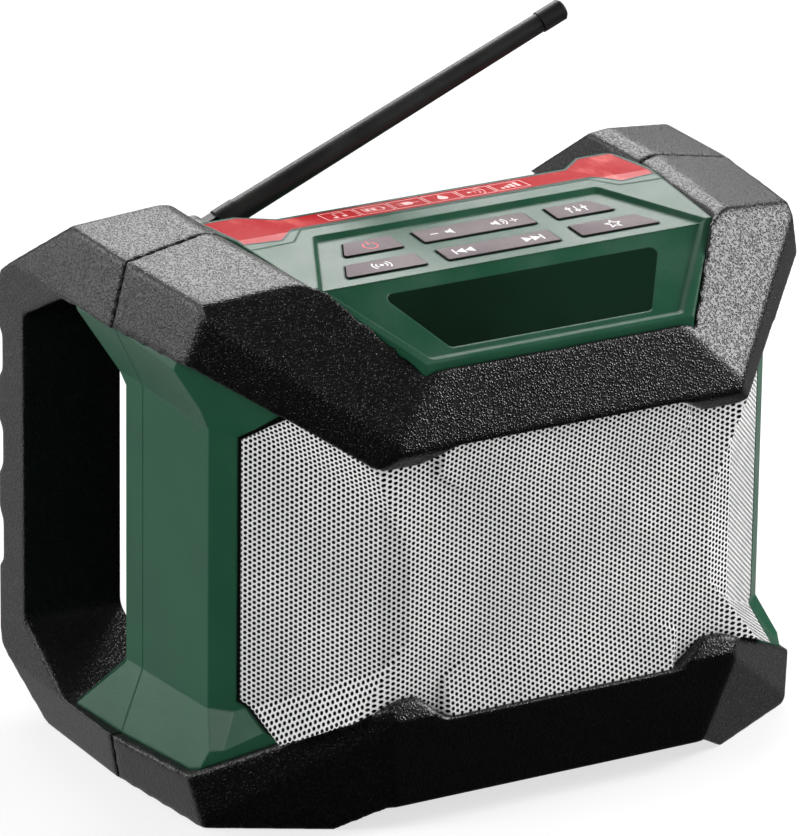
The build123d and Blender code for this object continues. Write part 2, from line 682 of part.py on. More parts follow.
def make_loop():
    """Right-hand side loop behind the seam: top arm, grip and bottom arm in one ring."""
    arm_low = top - arm_depth
    outer = [(0, top), (loop_top_run, top), (rear_reach, top - loop_shoulder), (rear_reach, loop_heel),
             (loop_bottom_run, 0), (0, 0)]
    inner_y = rear_reach - grip_depth
    inner = [(0, arm_low), (13.0, arm_low), (loop_inner_y, arm_low - 1.5),
             (inner_y, top - loop_shoulder - 10.4), (inner_y, loop_heel + 14.6),
             (inner_y - 29.3, sill_height), (0, sill_height)]
    section = [(half - arm_width, 0), (half - 3.0, 0), (half, sill_height), (half, arm_low),
               (half - 5.8, top - 5.6), (half - 36.0, top), (panel_half, top - 2.1),
               (panel_half, arm_low), (half - arm_width, arm_low)]
    at_seam = lambda v: v.Y < 0.1
    loop = prism_x(outer, 0, half + 9, loop_corner, at_seam)
    loop = loop - prism_x(inner, 0, half + 9, loop_inner_corner, at_seam)
    loop = loop & prism_y(section, -9, rear_reach + 9)
    for high, low in notches:
        slope = notch_depth * 1.4
        loop = loop - prism_x([(rear_reach, high), (rear_reach - notch_depth, high - slope),
                               (rear_reach - notch_depth, low + slope), (rear_reach, low),
                               (rear_reach + 9, low), (rear_reach + 9, high)], 0, half + 9)
    return solid_of(loop)


# ---------------------------------------------------------------- housings
screw_x = half - 26.0
screw_heights = (55.0, 125.0)
boss_radius = 4.5
pilot_radius = 1.5
shank_radius = 1.45
speaker_hole = speaker_radius - 4.0
speaker_screw_ring = speaker_radius - 2.0
wall_back = -(front_reach - 6.5 - grille_back - wall)    # inner face of the front wall
board_post_x = dock_half_width - 4.0
board_post_heights = (72.0, 118.0)
bay_screw_x = bulge_half_width - 4.5
bay_screw_heights = (44.0, 132.0)
bay_boss_depth = 12.0
wire_window = (30.0, 28.0, 50.0)                         # half width, low and high edge
dock_wall_y = bulge_rear - dock_depth - wall
main_board_y = 11.0
board_thickness = 1.6
port_low, port_high = 28.0, 54.0
port_left, port_right = -12.0, 40.0
port_depth = 3.0
port_z = (port_low + port_high) / 2
dc_x, usb_x, aux_x = port_right - 14.0, port_left + 16.0, port_left - 28.0
aux_radius = 1.8
screw_head_radius = 3.0
screw_pocket = 2.4


basket_rim = 1.6
basket_depth = 11.0
basket_small = 12.0
magnet_radius = 14.0
cone_radius = 17.0
cone_depth = 7.0
cap_radius = 7.0


def speaker_centres():
    return [(sx * speaker_spacing / 2, speaker_z) for sx in (-1, 1)]


def rod_y(x, z, y0, y1, radius, sides=None, radius_rear=None):
    """Cylinder along the depth of the radio, or a prism or frustum of so many sides."""
    if sides is None:
        return Location((x, (y0 + y1) / 2, z), (90, 0, 0)) * Cylinder(radius, y1 - y0)
    front = Plane(origin=(x, y0, z), x_dir=(1, 0, 0), z_dir=(0, 1, 0)) * RegularPolygon(radius, sides)
    if radius_rear is None:
        return solid_of(extrude(front, amount=y1 - y0, dir=(0, 1, 0)))
    turns = [2 * math.pi * step / sides for step in range(sides)]
    rings = [[Vector(x + r * math.cos(t), y, z + r * math.sin(t)) for t in turns]
             for y, r in ((y0, radius), (y1, radius_rear))]
    walls = [Face(Wire.make_polygon([rings[0][k - 1], rings[0][k], rings[1][k], rings[1][k - 1]]))
             for k in range(sides)]
    ends = [Face(Wire.make_polygon(ring)) for ring in rings]
    return Solid(Shell(walls + ends))


def speaker_screw_points():
    reach = speaker_screw_ring / math.sqrt(2)
    return [(x + sx * reach, z + sz * reach) for x, z in speaker_centres() for sx in (-1, 1)
            for sz in (-1, 1)]


def make_gasket():
    ring = front_form(2.0, 1.0, 3.0) - front_form(3.2, 2.0, 4.0)
    return solid_of(ring & block(-half, half, -1.2, 0, 0, top))


def make_front_housing(gasket):
    skin = grille_back + wall
    body = front_form() - front_form(skin, wall, recess_depth + wall)
    for sx in (-1, 1):
        for z in screw_heights:
            body = body + rod_y(sx * screw_x, z, -24.0, 0, boss_radius, hidden_sides)
            web = block(screw_x, waist_x - grille_back - 1.0, -22.0, -2.0, z - 1.0, z + 1.0)
            body = body + (web if sx > 0 else mirror(web, about=Plane.YZ))
    for x, y in board_posts:
        body = body + along_normal(key_plane, x, y, recess_depth + wall - 0.6, board_top, 3.0)
    body = body - (grille_window() - shell_form(grille_back))
    body = body - (prism_z(trim_outline, 100, top + 9) - under_panel(trim_depth))
    body = body - panel_recess()
    for cut in panel_holes():
        body = body - cut
    for x, z in speaker_centres():
        body = body - rod_y(x, z, -front_reach, wall_back + 6.0, speaker_hole, speaker_sides)
    for x, z in speaker_screw_points():
        body = body - rod_y(x, z, wall_back - 2.4, wall_back + 1.0, 1.0, hidden_sides)
    for sx in (-1, 1):
        for z in screw_heights:
            body = body - rod_y(sx * screw_x, z, -18.0, 1.0, pilot_radius, hidden_sides)
    for x, y in board_posts:
        body = body - along_normal(key_plane, x, y, board_top - 5.0, board_top + 1.0, 1.25)
    return solid_of(body - gasket)


def make_rear_housing(loops):
    """Rear shell with its screw bosses, the posts of the main board and a window for the wires of
    the battery bay, which is screwed on from inside."""
    body = rear_form() - rear_form(wall, wall, recess_depth + wall)
    inner_wall_y = rear_wall_y - wall
    for sx in (-1, 1):
        for z in screw_heights:
            body = body + rod_y(sx * screw_x, z, 0, rear_wall_y - 1.0, boss_radius, hidden_sides)
            web = block(screw_x, waist_x - 1.0, 2.0, rear_corner_y, z - 1.0, z + 1.0)
            body = body + (web if sx > 0 else mirror(web, about=Plane.YZ))
        for z in board_post_heights:
            x, post_end = sx * board_post_x, inner_wall_y + 1.0
            body = body + rod_y(x, z, main_board_y + board_thickness, post_end, 3.5, hidden_sides)
            body = body - rod_y(x, z, main_board_y, post_end, 1.25, hidden_sides)
        for z in bay_screw_heights:
            body = body - rod_y(sx * bay_screw_x, z, inner_wall_y - 1.0, rear_wall_y + 1.0, 1.6, hidden_sides)
    for sx in (-1, 1):
        for z in screw_heights:
            body = body - rod_y(sx * screw_x, z, -1.0, 40.0, pilot_radius + 0.1, hidden_sides)
            body = body - rod_y(sx * screw_x, z, rear_wall_y - screw_pocket, 40.0, screw_head_radius + fit,
                                speaker_sides)
    window_half, window_low, window_high = wire_window
    body = body - block(-window_half, window_half, inner_wall_y - 1.0, rear_wall_y + 1.0,
                        window_low, window_high)
    for loop in loops:
        body = body - loop
    body = body - (prism_z(trim_outline, 100, top + 9) - under_panel(trim_depth))
    return solid_of(body)


def make_battery_bay():
    """Housing behind the rear wall: the dock is a pocket that is open to the rear and above, and
    the ports lie under it."""
    dock = block(-(dock_half_width + wall), dock_half_width + wall, dock_wall_y, 99.0, dock_floor - wall, top)
    body = bulge_form() - (bulge_form(wall) - dock)
    body = body - block(-dock_half_width, dock_half_width, dock_wall_y + wall, 99.0, dock_floor, top)
    for sx in (-1, 1):
        for z in bay_screw_heights:
            body = body + rod_y(sx * bay_screw_x, z, rear_wall_y, rear_wall_y + bay_boss_depth, 4.0,
                                hidden_sides)
    backing = block(port_left - 3.0, port_right + 3.0, bulge_rear - port_depth - wall, bulge_rear,
                    port_low - 3.0, port_high + 3.0)
    body = body + backing
    body = body - block(port_left, port_right, bulge_rear - port_depth, bulge_rear + 1.0, port_low, port_high)
    floor_y = bulge_rear - port_depth
    body = body - rod_y(dc_x, port_z, floor_y - wall - 1.0, floor_y + 1.0, 4.5, speaker_sides)
    body = body - block(usb_x - 7.2, usb_x + 7.2, floor_y - wall - 1.0, floor_y + 1.0,
                        port_z - 3.6, port_z + 3.6)
    body = body - rod_y(aux_x, port_z, bulge_rear - wall - 1.0, bulge_rear + 1.0, 4.5)
    body = body - rear_form()
    for sx in (-1, 1):
        for z in bay_screw_heights:
            body = body - rod_y(sx * bay_screw_x, z, rear_wall_y - 1.0,
                                rear_wall_y + bay_boss_depth - 2.0, 1.25, hidden_sides)
    for x, z in dock_screw_points():
        body = body - rod_y(x, z, dock_wall_y - 1.0, 60.0, 1.25, hidden_sides)
    return body


# ---------------------------------------------------------------- grille and speakers
def make_grille():
    """Perforated sheet folded over the shell, and the dust cloth behind it."""
    limits = grille_window() & Pos(0, 0, -fit) * under_brow() & Pos(0, 0, fit) * over_chin()
    outer, middle, inner = shell_form(0.0), shell_form(grille_thickness), shell_form(grille_back)
    return solid_of((outer - middle) & limits), solid_of((middle - inner) & limits)


def make_speaker(x):
    """Basket, magnet and cone of one speaker, on the inner face of the front wall."""
    def round_part(y0, y1, radius, radius_rear=None):
        return rod_y(x, speaker_z, y0, y1, radius, speaker_sides, radius_rear)

    face = wall_back
    rim = face + basket_rim
    basket = round_part(face, rim, speaker_radius)
    basket = basket + round_part(rim, rim + basket_depth, speaker_hole, basket_small)
    basket = basket - round_part(face - 1.0, rim, speaker_hole - 0.5)
    basket = basket - round_part(rim, rim + basket_depth - 1.0, speaker_hole - 1.2, basket_small - 1.4)
    for angle in range(0, 360, 90):
        window = block(-5.0, 5.0, rim + 3.0, rim + basket_depth - 2.2, basket_small - 1.0,
                       speaker_radius + 4.0)
        basket = basket - Pos(x, 0, speaker_z) * Rot(0, angle + 45, 0) * window
    magnet = round_part(rim + basket_depth, face + speaker_depth, magnet_radius)
    cone_face = face + 1.0
    cone = round_part(cone_face, cone_face + cone_depth, cone_radius, cap_radius)
    cone = cone - round_part(cone_face - 0.6, cone_face + cone_depth - 0.6, cone_radius - 0.6,
                             cap_radius - 0.4)
    surround = round_part(cone_face - 0.6, cone_face + 0.6, speaker_hole - 0.5)
    surround = surround - round_part(cone_face - 2.0, cone_face + 2.0, cone_radius - 0.6)
    cap = round_part(cone_face + 4.6, cone_face + 11.4, cap_radius)
    basket = basket - round_part(rim + basket_depth - 2.6, face + 20.0, cap_radius + 0.2)
    for px, pz in speaker_screw_points():
        basket = basket - rod_y(px, pz, face - 1.0, face + 4.0, 1.1, hidden_sides)
    return {"basket": solid_of(basket), "magnet": solid_of(magnet), "cone": solid_of(cone + surround + cap)}


def make_speaker_screws():
    screws = []
    seat = wall_back + basket_rim
    for x, z in speaker_screw_points():
        shank = rod_y(x, z, wall_back - 2.2, seat, 0.95, hidden_sides)
        screws.append(solid_of(shank + rod_y(x, z, seat, seat + 1.0, 1.9, hidden_sides)))
    return Compound(children=screws)


# ---------------------------------------------------------------- antenna
pivot_x = -(half - pivot_inset)
knuckle_radius = 4.8
tongue_half = 2.3
cheek_width = 3.6
pin_radius = 1.6
rod_start = 7.6
tip_length = 10.0
rod_sides = 32


def make_antenna():
    pivot = Pos(pivot_x, antenna_y, pivot_height)
    cheek_inner = tongue_half + fit
    cheeks = None
    foot_low = shelf_height - pivot_height
    reach = cheek_inner + cheek_width
    for sign in (-1, 1):
        y = sign * (cheek_inner + cheek_width / 2)
        cheek = block(-knuckle_radius, knuckle_radius, y - cheek_width / 2, y + cheek_width / 2, foot_low, 0)
        cheek = cheek + Location((0, y, 0), (90, 0, 0)) * Cylinder(knuckle_radius, cheek_width)
        cheeks = cheek if cheeks is None else cheeks + cheek
    foot = block(-knuckle_radius, knuckle_radius, -reach, reach, foot_low, foot_low + 1.8)
    bore = Location((0, 0, 0), (90, 0, 0)) * Cylinder(pin_radius, 40)
    bracket = pivot * (cheeks + foot - bore)
    pin = pivot * (Location((0, 0, 0), (90, 0, 0)) * Cylinder(pin_radius - 0.05, 2 * reach))
    lean = pivot * Rot(0, -antenna_angle, 0)
    tongue = Location((0, 0, 0), (90, 0, 0)) * Cylinder(knuckle_radius, 2 * tongue_half)
    tongue = tongue + block(0, rod_start + 1.0, -tongue_half, tongue_half, -3.6, 3.6)
    collar = Location((rod_start + 4.0, 0, 0), (0, 90, 0)) * Cylinder(antenna_radius, 8.0)
    tongue = tongue + collar - Location((0, 0, 0), (90, 0, 0)) * Cylinder(pin_radius + 0.1, 40)
    rod_from, rod_to = rod_start + 8.0, antenna_length - tip_length
    ends = [(rod_from, antenna_radius - 0.3), (rod_to, antenna_tip_radius - 0.4)]
    rod = loft([Plane(origin=(x, 0, 0), x_dir=(0, 1, 0), z_dir=(1, 0, 0)) * RegularPolygon(r, rod_sides)
                for x, r in ends], ruled=True)
    tip = Location(((rod_to + antenna_length) / 2, 0, 0), (0, 90, 0)) * \
        Cylinder(antenna_tip_radius, antenna_length - rod_to)
    tip = chamfer(tip.faces().sort_by(Axis.X)[-1].edges(), 0.9)
    return {"antenna_bracket": solid_of(bracket), "antenna_pin": solid_of(pin),
            "antenna_knuckle": solid_of(lean * tongue), "antenna_rod": solid_of(lean * rod),
            "antenna_tip": solid_of(lean * tip)}


# ---------------------------------------------------------------- battery dock and ports
rail_low, rail_high = 66.0, 126.0
rail_base = 2.0
rail_leg = 7.0
rail_lip = 3.0
rail_half = 37.0
rail_inner = 29.0
rail_wall = 3.5
contact_half = 16.0
contact_low, contact_high = 98.0, 120.0
contact_rise = 4.0
blade_thickness = 1.0
blade_pitch = 9.0
blade_rise = 3.6


def make_dock():
    floor_y = bulge_rear - dock_depth
    rails = block(-rail_half, rail_half, floor_y, floor_y + rail_base, rail_low, rail_high)
    for sign in (-1, 1):
        leg = block(rail_half - rail_wall, rail_half, floor_y, floor_y + rail_base + rail_leg,
                    rail_low, rail_high)
        lip = block(rail_inner, rail_half, floor_y + rail_base + rail_leg,
                    floor_y + rail_base + rail_leg + rail_lip, rail_low, rail_high)
        side = leg + lip
        rails = rails + (side if sign > 0 else mirror(side, about=Plane.YZ))
    base = floor_y + rail_base
    contact = block(-contact_half, contact_half, base, base + contact_rise, contact_low, contact_high)
    blades = []
    for step in (-1, 0, 1):
        x = step * blade_pitch
        blade = block(x - blade_thickness / 2, x + blade_thickness / 2, base + 1.0,
                      base + contact_rise + blade_rise, contact_low + 3.0, contact_high - 1.0)
        contact = contact - blade
        blades.append(blade)
    for x in (-rail_inner + 6.0, rail_inner - 6.0):
        for z in (rail_low + 10.0, rail_high - 10.0):
            rails = rails - rod_y(x, z, floor_y - 1.0, floor_y + 5.0, 1.3, hidden_sides)
    return solid_of(rails), solid_of(contact), Compound(children=blades)


def dock_screw_points():
    return [(x, z) for x in (-rail_inner + 6.0, rail_inner - 6.0)
            for z in (rail_low + 10.0, rail_high - 10.0)]


def make_ports():
    floor_y = bulge_rear - port_depth
    aux = rod_y(aux_x, port_z, bulge_rear - wall - 9.0, bulge_rear + 0.6, 4.4)
    aux = aux + rod_y(aux_x, port_z, bulge_rear - wall - 1.6, bulge_rear - wall, 6.5, hidden_sides)
    aux = aux - rod_y(aux_x, port_z, bulge_rear - wall - 8.0, bulge_rear + 1.0, aux_radius)
    dc = rod_y(dc_x, port_z, floor_y - wall - 9.0, floor_y, 4.4, speaker_sides)
    dc = dc + rod_y(dc_x, port_z, floor_y - wall - 1.6, floor_y - wall, 6.5, hidden_sides)
    dc = dc - rod_y(dc_x, port_z, floor_y - 9.0, floor_y + 1.0, 3.2, speaker_sides)
    dc = dc + rod_y(dc_x, port_z, floor_y - wall - 8.0, floor_y - 1.0, 1.0, hidden_sides)
    usb = block(usb_x - 7.1, usb_x + 7.1, floor_y - wall - 11.0, floor_y, port_z - 3.5, port_z + 3.5)
    usb = usb + block(usb_x - 9.0, usb_x + 9.0, floor_y - wall - 2.0, floor_y - wall,
                      port_z - 5.0, port_z + 5.0)
    usb = usb - block(usb_x - 6.3, usb_x + 6.3, floor_y - 11.0, floor_y + 1.0, port_z - 2.6, port_z + 2.6)
    usb = usb + block(usb_x - 5.6, usb_x + 5.6, floor_y - 12.0, floor_y - 1.5, port_z + 0.1, port_z + 1.9)
    return solid_of(aux), solid_of(dc), solid_of(usb)


hinge_radius = 1.2
cover_gap = 0.4


def make_port_cover():
    """Flap that lies in the port pocket, turning on a pin along its lower edge."""
    hinge_y = bulge_rear - hinge_radius
    hinge_z = port_low + cover_gap + hinge_radius
    plate = block(port_left + cover_gap, port_right - cover_gap, bulge_rear - 2 * hinge_radius, bulge_rear,
                  hinge_z, port_high - cover_gap)
    length = port_right - port_left - 2 * cover_gap
    barrel = Location(((port_left + port_right) / 2, hinge_y, hinge_z), (0, 90, 0)) * \
        Cylinder(hinge_radius, length)
    grip_z = port_high - cover_gap - 2.0
    tab = block(8.0, 20.0, bulge_rear, bulge_rear + 1.2, grip_z - 1.4, grip_z + 0.6)
    cover = plate + barrel + tab
    pin_bore = Location(((port_left + port_right) / 2, hinge_y, hinge_z), (0, 90, 0)) * \
        Cylinder(0.65, length + 4)
    pin = Location(((port_left + port_right) / 2, hinge_y, hinge_z), (0, 90, 0)) * \
        Cylinder(0.6, length + 2 * cover_gap + 3.0)
    return solid_of(cover - pin_bore), solid_of(pin)


# ---------------------------------------------------------------- boards and screws
def make_main_board():
    y0, y1 = main_board_y, main_board_y + board_thickness
    board = block(-60.0, 60.0, y0, y1, 62.0, 130.0)
    screws = []
    for sx in (-1, 1):
        for z in board_post_heights:
            x = sx * board_post_x
            board = board - rod_y(x, z, y0 - 1.0, y1 + 1.0, 1.4, hidden_sides)
            screws.append(solid_of(rod_y(x, z, y0, rear_wall_y - wall + 0.5, 1.2, hidden_sides) +
                                   rod_y(x, z, y0 - 1.4, y0, 2.5, hidden_sides)))
    parts = [block(-52.0, -46.0, y0 - 8.0, y0, 84.0, 108.0), block(-20.0, 2.0, y0 - 3.0, y0, 100.0, 122.0),
             block(10.0, 24.0, y0 - 2.0, y0, 84.0, 98.0)]
    for x, z, radius, length in ((-30.0, 76.0, 5.0, 9.0), (-16.0, 76.0, 5.0, 9.0), (48.0, 84.0, 4.0, 8.0),
                                 (48.0, 96.0, 4.0, 8.0)):
        parts.append(rod_y(x, z, y0 - length, y0, radius, hidden_sides))
    return solid_of(board), Compound(children=[solid_of(p) for p in parts]), screws


def make_housing_screws():
    screws = []
    seat = rear_wall_y - screw_pocket
    for sx in (-1, 1):
        for z in screw_heights:
            shank = rod_y(sx * screw_x, z, -16.0, seat, shank_radius, hidden_sides)
            head = rod_y(sx * screw_x, z, seat, seat + 2.0, screw_head_radius, speaker_sides)
            slot = block(-0.5, 0.5, seat + 1.0, seat + 3.0, -2.2, 2.2)
            slots = slot + Rot(0, 90, 0) * slot
            screws.append(solid_of(shank + head - Pos(sx * screw_x, 0, z) * slots))
    return Compound(children=screws)


def make_dock_screws():
    floor_y = bulge_rear - dock_depth
    screws = []
    seat = floor_y + rail_base
    for x, z in dock_screw_points():
        shank = rod_y(x, z, floor_y - 2.4, seat, 1.2, hidden_sides)
        screws.append(solid_of(shank + rod_y(x, z, seat, seat + 1.2, 2.4, speaker_sides)))
    return Compound(children=screws)


def make_bay_screws():
    """Screws from inside the rear shell into the bosses of the battery bay."""
    seat = rear_wall_y - wall
    screws = []
    for sx in (-1, 1):
        for z in bay_screw_heights:
            x = sx * bay_screw_x
            screws.append(solid_of(rod_y(x, z, seat, rear_wall_y + bay_boss_depth - 3.0, 1.2, hidden_sides) +
                                   rod_y(x, z, seat - 1.4, seat, 2.5, hidden_sides)))
    return Compound(children=screws)


# ---------------------------------------------------------------- build and export
def build_all():
    loop = make_loop()
    loops = [loop, mirror(loop, about=Plane.YZ)]
    gasket = make_gasket()
    brow, chin = make_bumpers()
    front = make_front_housing(gasket)
    rear = make_rear_housing(loops)
    ports = make_ports()
    cover, cover_pin = make_port_cover()
    bay = make_battery_bay() - cover_pin
    grille, cloth = make_grille()
    trim, label = make_top_trim()
    membrane, board, switches, board_screws = make_key_electronics()
    main_board, board_parts, main_screws = make_main_board()
    rails, contact, blades = make_dock()
    nodes = {
        "front_housing": front, "rear_housing": rear, "battery_bay": solid_of(bay),
        "bumper_top": brow, "bumper_bottom": chin, "loop_right": loops[0], "loop_left": loops[1],
        "speaker_grille": grille, "grille_cloth": cloth, "top_trim": trim, "top_label": label,
        "keypad_membrane": membrane, "control_board": board, "tact_switches": switches,
        "main_board": main_board, "board_parts": board_parts,
        "board_screws": Compound(children=board_screws + main_screws), "housing_gasket": gasket,
        "battery_rails": rails, "contact_block": contact, "contact_blades": blades,
        "rail_screws": make_dock_screws(), "bay_screws": make_bay_screws(),
        "housing_screws": make_housing_screws(), "speaker_screws": make_speaker_screws(),
        "aux_jack": ports[0], "dc_jack": ports[1], "usb_port": ports[2], "port_cover": cover,
        "cover_pin": cover_pin,
    }
    nodes.update(make_keys())
    nodes.update(make_display())
    nodes.update(make_antenna())
    for side, sign in (("left", -1), ("right", 1)):
        for part, shape in make_speaker(sign * speaker_spacing / 2).items():
            nodes["speaker_" + part + "_" + side] = shape
    return nodes


# The parts are handed over with the origin on the floor under the middle of the whole radio.
os.makedirs("parts", exist_ok=True)
to_middle = Pos(0, (front_reach - rear_reach) / 2, 0)
for name, shape in build_all().items():
    export_step(to_middle * shape, os.path.join("parts", name + ".step"))
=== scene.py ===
import json
import math

import bmesh
import bpy
import numpy as np
from mathutils import Matrix, Vector


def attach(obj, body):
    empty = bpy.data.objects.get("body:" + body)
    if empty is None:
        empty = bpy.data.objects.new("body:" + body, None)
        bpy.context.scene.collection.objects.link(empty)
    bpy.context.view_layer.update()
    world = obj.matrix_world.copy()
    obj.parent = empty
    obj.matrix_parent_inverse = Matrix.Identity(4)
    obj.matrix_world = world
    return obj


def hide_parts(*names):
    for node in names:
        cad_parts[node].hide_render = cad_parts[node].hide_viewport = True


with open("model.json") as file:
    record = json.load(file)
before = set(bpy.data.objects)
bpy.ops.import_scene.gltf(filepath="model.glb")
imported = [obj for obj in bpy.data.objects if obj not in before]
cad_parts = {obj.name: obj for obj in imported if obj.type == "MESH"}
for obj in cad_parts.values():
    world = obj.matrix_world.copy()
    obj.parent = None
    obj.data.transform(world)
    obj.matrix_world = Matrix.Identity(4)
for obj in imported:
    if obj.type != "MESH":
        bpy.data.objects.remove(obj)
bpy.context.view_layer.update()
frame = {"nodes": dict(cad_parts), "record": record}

MM = 0.001
NODES = frame["nodes"]
BODY_OF = {n: b for b, ns in frame["record"]["behaviour"]["bodies"].items() for n in ns}
scene = bpy.context.scene
scene.view_settings.view_transform = "Standard"


def new_object(name, data):
    """Object that is linked to the scene."""
    obj = bpy.data.objects.new(name, data)
    scene.collection.objects.link(obj)
    return obj


# ---------------------------------------------------------------- camera
CAMERA_TURN = (-29.731, 20.901, 0.768)                      # azimuth, elevation and roll in degrees
CAMERA_DISTANCE = 2597.347 * MM
CAMERA_TARGET = Vector((-11.916, 6.0, 113.736)) * MM
SENSOR = 36.0
FOCAL_LENGTH, PICTURE_HEIGHT = 7494.9, 836                  # in the same unit


def make_camera():
    """Long lens, low over the left-hand front corner.  back is the unit vector from the target to
    the camera; right and up are turned by a small roll about it."""
    azimuth, elevation, roll = (math.radians(v) for v in CAMERA_TURN)
    back = Vector((math.sin(azimuth) * math.cos(elevation), -math.cos(azimuth) * math.cos(elevation),
                   math.sin(elevation)))
    level = Vector((math.cos(azimuth), math.sin(azimuth), 0))
    upright = back.cross(level)
    right = level * math.cos(roll) + upright * math.sin(roll)
    up = upright * math.cos(roll) - level * math.sin(roll)
    data = bpy.data.cameras.new("camera")
    data.sensor_width = SENSOR
    data.lens = FOCAL_LENGTH * SENSOR / PICTURE_HEIGHT
    data.clip_end = 50
    camera = new_object("camera", data)
    turn = Matrix((right, up, back)).transposed().to_4x4()
    camera.matrix_world = Matrix.Translation(CAMERA_TARGET + back * CAMERA_DISTANCE) @ turn
    scene.camera = camera


make_camera()


# ---------------------------------------------------------------- node helpers
class Tree:
    """Short way to add nodes to a world, a material or a node group."""

    def __init__(self, tree):
        self.tree = tree

    def add(self, kind, **values):
        """New node with the given properties."""
        node = self.tree.nodes.new(kind)
        for key, value in values.items():
            setattr(node, key, value)
        return node

    def link(self, a, b):
        self.tree.links.new(a, b)

    def feed(self, socket, value):
        """Link an output to the socket, or set a plain value on it."""
        if hasattr(value, "is_output"):
            self.link(value, socket)
        else:
            socket.default_value = value

    def math(self, operation, a, b=0.0, clamp=False):
        node = self.add("ShaderNodeMath", operation=operation, use_clamp=clamp)
        self.feed(node.inputs[0], a)
        self.feed(node.inputs[1], b)
        return node.outputs[0]

    def span(self, value, low, high, to_low=0.0, to_high=1.0, smooth=True):
        """value carried from low..high to to_low..to_high, and held beyond the ends."""
        node = self.add("ShaderNodeMapRange", interpolation_type="SMOOTHSTEP" if smooth else "LINEAR")
        self.feed(node.inputs["Value"], value)
        for key, number in (("From Min", low), ("From Max", high), ("To Min", to_low), ("To Max", to_high)):
            self.feed(node.inputs[key], number)
        return node.outputs[0]

    def noise(self, vector, scale, detail, roughness):
        node = self.add("ShaderNodeTexNoise")
        self.feed(node.inputs["Vector"], vector)
        self.feed(node.inputs["Scale"], scale)
        node.inputs["Detail"].default_value = detail
        node.inputs["Roughness"].default_value = roughness
        return node.outputs["Fac"]

    def axes(self, vector):
        """The X, Y and Z of a vector, by name."""
        node = self.add("ShaderNodeSeparateXYZ")
        self.link(vector, node.inputs[0])
        return node.outputs

    def mix(self, factor, a, b):
        """Colour from a to b."""
        node = self.add("ShaderNodeMix", data_type="RGBA")
        self.feed(node.inputs[0], factor)
        self.feed(node.inputs[6], a)
        self.feed(node.inputs[7], b)
        return node.outputs[2]

    def blend(self, factor, a, b):
        """Shader from a to b."""
        node = self.add("ShaderNodeMixShader")
        for socket, value in zip(node.inputs, (factor, a, b)):
            self.link(value, socket)
        return node.outputs[0]

    def background(self, strength):
        """White background of the given strength."""
        node = self.add("ShaderNodeBackground")
        node.inputs["Color"].default_value = (1, 1, 1, 1)
        self.feed(node.inputs["Strength"], strength)
        return node.outputs[0]


# ---------------------------------------------------------------- light
# Name, azimuth and elevation in degrees, distance, width and height in metres, watts.
LAMPS = (
    ("box_rear", 24, 36, 2.2, 1.5, 0.9, 32),
    ("box_right", 112, 24, 1.5, 0.65, 0.65, 27),
    ("box_left", -96, 34, 1.8, 0.8, 0.8, 15),
    ("box_edge", -42, 10, 1.8, 0.8, 0.7, 10),
)
LAMP_AIM = Vector((0, 0, 0.1))


def direction(azimuth, elevation):
    """Unit vector; azimuth 0 points to the rear and 90 to the right-hand side."""
    a, e = math.radians(azimuth), math.radians(elevation)
    return Vector((math.sin(a) * math.cos(e), math.cos(a) * math.cos(e), math.sin(e)))


def softbox(name, azimuth, elevation, distance, width, height, power):
    """Rectangular lamp that faces the middle of the radio."""
    lamp = bpy.data.lights.new(name, "AREA")
    lamp.shape = "RECTANGLE"
    lamp.size, lamp.size_y = width, height
    lamp.energy = power
    holder = new_object(name, lamp)
    aim = direction(azimuth, elevation)
    holder.location = LAMP_AIM + aim * distance
    holder.rotation_euler = aim.to_track_quat("Z", "Y").to_euler()


def make_world():
    """White room.  Reflections see a glow at the rear, above the radio and below the table, with a
    dark band between; other rays see an even fill that is weaker at the front; the camera, and
    what is seen through glass, see plain white."""
    world = bpy.data.worlds.new("studio")
    scene.world = world
    world.use_nodes = True
    t = Tree(world.node_tree)
    t.tree.nodes.clear()
    out = t.add("ShaderNodeOutputWorld")
    way = t.axes(t.add("ShaderNodeTexCoord").outputs["Generated"])
    rear = t.span(way["Y"], 0.2, 0.7, 0.03, 1.0, smooth=False)
    high = t.span(way["Z"], 0.15, 0.45, 0.06, 1.0, smooth=False)
    low = t.span(way["Z"], -0.15, -0.35, 0.06, 0.65, smooth=False)
    glow = t.background(t.math("MULTIPLY", rear, t.math("MAXIMUM", high, low)))
    fill = t.background(t.span(way["Y"], -1.0, -0.15, 0.10, 0.58, smooth=False))
    white = t.background(1.0)
    ray = t.add("ShaderNodeLightPath").outputs
    lit = t.blend(ray["Is Glossy Ray"], fill, glow)
    seen = t.math("MAXIMUM", ray["Is Camera Ray"], ray["Is Transmission Ray"])
    t.link(t.blend(seen, lit, white), out.inputs["Surface"])


for lamp_values in LAMPS:
    softbox(*lamp_values)
make_world()


# ---------------------------------------------------------------- textures as node groups
def new_group(name, inputs, outputs):
    """Empty node group with named sockets: f is a number and v a vector."""
    group = bpy.data.node_groups.new(name, "ShaderNodeTree")
    kinds = {"f": "NodeSocketFloat", "v": "NodeSocketVector"}
    for label, kind, value in inputs:
        socket = group.interface.new_socket(label, in_out="INPUT", socket_type=kinds[kind])
        if value is not None:
            socket.default_value = value
    for label, kind in outputs:
        group.interface.new_socket(label, in_out="OUTPUT", socket_type=kinds[kind])
    tree = Tree(group)
    return group, tree, tree.add("NodeGroupInput"), tree.add("NodeGroupOutput")


